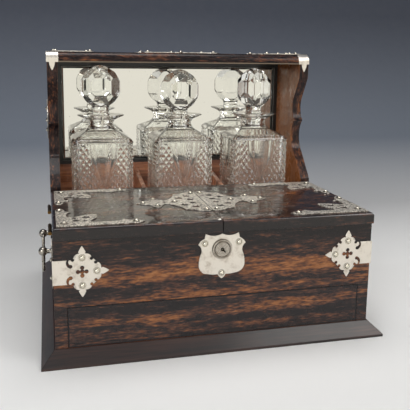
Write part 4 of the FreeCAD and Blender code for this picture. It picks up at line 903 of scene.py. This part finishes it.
class DECANTER_CASE_OT_mounts(DecanterCaseOperator, bpy.types.Operator):
    """Polishes the pierced mounts, the studs, the shield and the handles"""

    bl_idname = "decanter_case.mounts"
    bl_label = "Polish the mounts"

    def execute(self, context):
        look = context.scene.decanter_metal
        silver, tarnish = tuple(look.silver), tuple(look.tarnish)
        plate = finish_of("silver_plate", plated, silver, tarnish, look.plate_roughness, 0.55)
        # The studs' dark rings round their domes are grime and painted shade, from hollows found further out
        # than on the other plate.
        bright = finish_of(
            "stud_plate", plated, tone(232, 226, 210), tarnish, 0.2, 0.35, grime=0.0045, reach=(0.06, 0.34)
        )
        chased = finish_of(
            "chased_plate", plated, silver, tarnish, look.plate_roughness, 0.55, chased=True
        )
        sheets = ("canopy_mounts", "corner_caps", "gallery_mounts", "left_strap_mount", "right_strap_mount",
                  "shield")
        dress_nodes(sheets, plate, look.edge_ease, "_plated")
        engraved = ("left_lid_corner_mounts", "right_lid_corner_mounts", "left_lid_centre_mount",
                    "right_lid_centre_mount")
        dress_nodes(engraved, chased, look.edge_ease, "_chased")
        studs = ("case_studs", "left_lid_studs", "right_lid_studs")
        dress_nodes(studs, bright, 0.0, "_plated")
        # The handles are heavily tarnished, and their silver is painted darker as well: a painted dark
        # reflection of their dark surroundings.
        worn = finish_of(
            "handle_plate", plated, tone(168, 162, 152), tone(70, 62, 54), 0.2, 0.8, grime=0.003
        )
        dress_nodes(("handle_posts", "left_bail", "right_bail"), worn, 0.0, "_plated")
        return {"FINISHED"}


class DECANTER_CASE_OT_lock(DecanterCaseOperator, bpy.types.Operator):
    """Finishes the lock, its dial, the hinges and the hidden fittings"""

    bl_idname = "decanter_case.lock"
    bl_label = "Fit the lock and hinges"

    def execute(self, context):
        look = context.scene.decanter_metal
        brass = finish_of("hinge_brass", plated, tuple(look.brass), tuple(look.brass_dark), 0.26, 0.6)
        x, _, z = middle_of("lock_barrel")
        plate = finish_of(
            "dial_plate", plated, tuple(look.silver), tuple(look.tarnish), 0.2, 0.6, turned=(x, z)
        )
        fittings = ("left_lid_hinge_leaves", "right_lid_hinge_leaves", "case_hinge_leaves", "hinge_pins",
                    "lock_case", "lock_bolt", "left_lid_catch", "right_lid_catch", "drawer_locking_pin",
                    "drawer_ejector_spring")
        dress_nodes(fittings, brass, 0.0, "_filed")
        dress_nodes(("lock_barrel",), plate, 0.2 * MM, "_turned")
        return {"FINISHED"}


class DECANTER_CASE_OT_glass(DecanterCaseOperator, bpy.types.Operator):
    """Cuts the three decanters and polishes their stoppers"""

    bl_idname = "decanter_case.glass"
    bl_label = "Cut the decanters"

    def execute(self, context):
        look = context.scene.decanter_glass
        material = finish_of("lead_crystal", crystal)
        for which, turn in STOPPER_TURNS.items():
            x, y, _ = middle_of(which + "_decanter")
            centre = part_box(which + "_stopper")[1][2] / MM - BALL_TOP
            for node, piece in (
                (which + "_decanter", decanter_surface(which + "_decanter_cut", x, y, look)),
                (which + "_stopper", stopper_surface(which + "_stopper_ground", x, y, centre, turn, look)),
            ):
                dress(piece, material)
                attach(piece, NODES[node]["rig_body"])
                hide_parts(node)
        return {"FINISHED"}


def lamp(name, place, target, size, watts, shade):
    """A soft rectangular lamp that faces a target."""
    data = bpy.data.lights.new(name, "AREA")
    data.shape = "RECTANGLE"
    data.size, data.size_y = size
    data.energy = watts
    data.color = shade
    thing = bpy.data.objects.new(name, data)
    thing.location = place
    thing.rotation_euler = (Vector(target) - Vector(place)).to_track_quat("-Z", "Y").to_euler()
    bpy.context.scene.collection.objects.link(thing)


def sweep_paper(name):
    """Floor and backdrop in one: a profile of depth and height that turns up in a wide quarter circle."""
    near, start, radius, top, half_width = -6.0, 1.6, 0.9, 5.0, 6.0
    turn = np.linspace(0, math.pi / 2, 33)[1:]
    depth = np.concatenate([[near, start], start + radius * np.sin(turn), [start + radius]])
    height = np.concatenate([[0.0, 0.0], radius * (1 - np.cos(turn)), [top]])
    width = np.linspace(-half_width, half_width, 9)
    columns = len(width)
    points = np.stack(
        [np.tile(width, len(depth)), np.repeat(depth, columns), np.repeat(height, columns)], -1
    )
    row, column = np.meshgrid(np.arange(len(depth) - 1), np.arange(columns - 1), indexing="ij")
    a = (row * columns + column).ravel()
    faces = np.stack([a, a + 1, a + columns + 1, a + columns], -1)
    sweep = put_in_mesh(name, points, faces)
    sweep.data.shade_smooth()
    return sweep


class DECANTER_CASE_OT_stage(DecanterCaseOperator, bpy.types.Operator):
    """Lays the paper, sets the lamps and stands the camera"""

    bl_idname = "decanter_case.stage"
    bl_label = "Set the stage"

    def execute(self, context):
        scene = context.scene
        look = scene.decanter_stage
        floor = sweep_paper("studio_paper")
        dress(floor, finish_of("paper", paper))
        scene.world = studio_air("studio", 0.5)
        for values in LAMPS:
            lamp(*values)
        camera = bpy.data.cameras.new("camera")
        camera.sensor_width = 36
        camera.lens = look.lens
        camera.shift_x, camera.shift_y = PICTURE_SHIFT
        camera.clip_start = 0.02
        stand = bpy.data.objects.new("camera", camera)
        turn = Euler(look.camera_turn).to_matrix().to_4x4()
        stand.matrix_world = Matrix.Translation(look.camera_place) @ turn
        scene.collection.objects.link(stand)
        scene.camera = stand
        scene.view_settings.view_transform = "Standard"
        return {"FINISHED"}


class DECANTER_CASE_PT_panel(bpy.types.Panel):
    """Lists the steps and their sizes and colours."""

    bl_label = "Decanter case"
    bl_idname = "DECANTER_CASE_PT_panel"
    bl_space_type = "VIEW_3D"
    bl_region_type = "UI"
    bl_category = "Decanter case"

    def draw(self, context):
        for operator in STEPS:
            self.layout.operator(operator.bl_idname)
        for name, group in SETTINGS.items():
            box = self.layout.box()
            box.label(text=name.capitalize())
            for value in group.__annotations__:
                box.prop(getattr(context.scene, "decanter_" + name), value)


STEPS = (
    DECANTER_CASE_OT_veneer,
    DECANTER_CASE_OT_line,
    DECANTER_CASE_OT_mirror,
    DECANTER_CASE_OT_mounts,
    DECANTER_CASE_OT_lock,
    DECANTER_CASE_OT_glass,
    DECANTER_CASE_OT_stage,
)


def register():
    for group in SETTINGS.values():
        bpy.utils.register_class(group)
    for name, group in SETTINGS.items():
        setattr(bpy.types.Scene, "decanter_" + name, bpy.props.PointerProperty(type=group))
    for step in (*STEPS, DECANTER_CASE_PT_panel):
        bpy.utils.register_class(step)


def unregister():
    for step in reversed((*STEPS, DECANTER_CASE_PT_panel)):
        bpy.utils.unregister_class(step)
    for name, group in SETTINGS.items():
        delattr(bpy.types.Scene, "decanter_" + name)
        bpy.utils.unregister_class(group)


def main():
    register()
    for step in STEPS:
        family, action = step.bl_idname.split(".")
        getattr(getattr(bpy.ops, family), action)()


if __name__ == "__main__":
    main()
